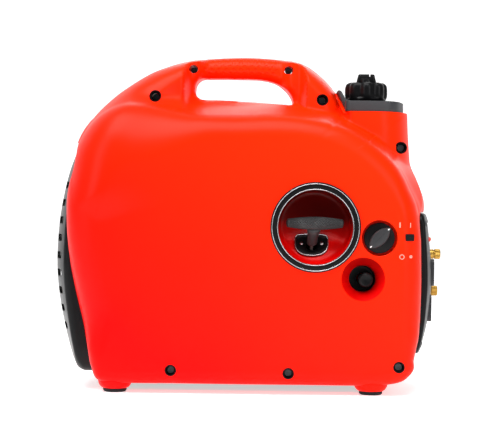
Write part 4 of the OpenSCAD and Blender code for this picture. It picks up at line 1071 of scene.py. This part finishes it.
# ---- Finishes of the parts inside ----
# Everything else keeps its modelled shape. Cast aluminium, machined and blackened steel, windings, rubber
# and moulded plastics are told apart by grain, tone and sheen.
alloy = cast_metal("cast_alloy", (0.58, 0.59, 0.6), 0.42, 0.0016, 0.00012, 1.0, (0.6, 0.6, 0.6))
steel = cast_metal("machined_steel", (0.5, 0.51, 0.53), 0.26, 0.0008, 0.00002, 1.0, (0.7, 0.68, 0.66))
dark_steel = cast_metal("blackened_steel", (0.075, 0.075, 0.08), 0.4, 0.0011, 0.00005, 0.9, (0.6, 0.6, 0.6))
hot_steel = cast_metal("heated_steel", (0.36, 0.31, 0.27), 0.45, 0.0014, 0.00008, 1.0, (0.55, 0.42, 0.3))
rotor_iron = cast_metal("rotor_iron", (0.22, 0.22, 0.23), 0.5, 0.0018, 0.0001, 1.0, (0.6, 0.55, 0.5))
tank_plastic = moulded("tank_plastic", (0.02, 0.02, 0.021), (0.013, 0.013, 0.014), 0.55, 0.0014, 0.00006)
fan_plastic = moulded("black_device_plastic", (0.018, 0.018, 0.02), (0.011, 0.011, 0.013), 0.38, 0.0007,
    0.00002, 0.4)
reel_nylon = moulded("reel_nylon", (0.62, 0.6, 0.54), (0.54, 0.52, 0.46), 0.45, 0.0012, 0.00004)
yellow_cap = moulded("oil_cap_yellow", (0.86, 0.5, 0.02), (0.78, 0.42, 0.015), 0.4, 0.0009, 0.00003)
red_button = moulded("button_red", (0.7, 0.02, 0.01), (0.6, 0.014, 0.008), 0.35, 0.0007, 0.00002)
f = Finish("copper_windings", Metallic=0.85, Roughness=0.35)
wires = f.node("ShaderNodeTexWave", {"wave_type": "BANDS", "bands_direction": "X"},
    {"Vector": f.place(), "Scale": 260.0, "Distortion": 1.5, "Detail": 2.0})
f.seal(Base_Color=f.mix(wires, (0.36, 0.12, 0.035, 1), (0.8, 0.36, 0.12, 1)))
f.bump(wires, 0.0004)
windings = f.material
f = Finish("lamp_lens", Roughness=0.12)
part = f.node("ShaderNodeSeparateXYZ", {}, f.place(), out=1)
amber_or_green = f.mix(f.ramp(part, -0.046, -0.044), (0.75, 0.4, 0.02, 1), (0.03, 0.5, 0.06, 1))
f.seal(Base_Color=f.mix(f.ramp(part, -0.06, -0.058), (0.7, 0.03, 0.02, 1), amber_or_green),
    Roughness=f.noise(300.0) * 0.1 + 0.1)
lens_plastic = f.material
ceramic = moulded("plug_ceramic", (0.85, 0.83, 0.78), (0.78, 0.75, 0.7), 0.2, 0.001, 0.00001, 0.6)
by_slot = {"red_shell": painted_light_red_plastic, "red_recess": bowl_red_painted_shade, "black_plastic": black_plastic,
    "dark_grey_plastic": deck_grey, "tank_plastic": tank_plastic, "panel_grey": plate_grey,
    "device_black": fan_plastic, "button_red": red_button, "lamp_lens": lens_plastic, "rubber": pad_rubber,
    "engine_alloy": alloy, "machined_steel": steel, "dark_steel": dark_steel, "rotor_iron": rotor_iron,
    "copper_windings": windings, "muffler_steel": hot_steel, "brass": brass, "ceramic_white": ceramic,
    "reel_nylon": reel_nylon, "rope": rope_nylon, "cap_yellow": yellow_cap}
for part in frame["record"]["subparts"]:
    mesh = frame["nodes"][part["node"]].data
    mesh.materials.clear()
    mesh.materials.append(by_slot[part["material_slot"]])
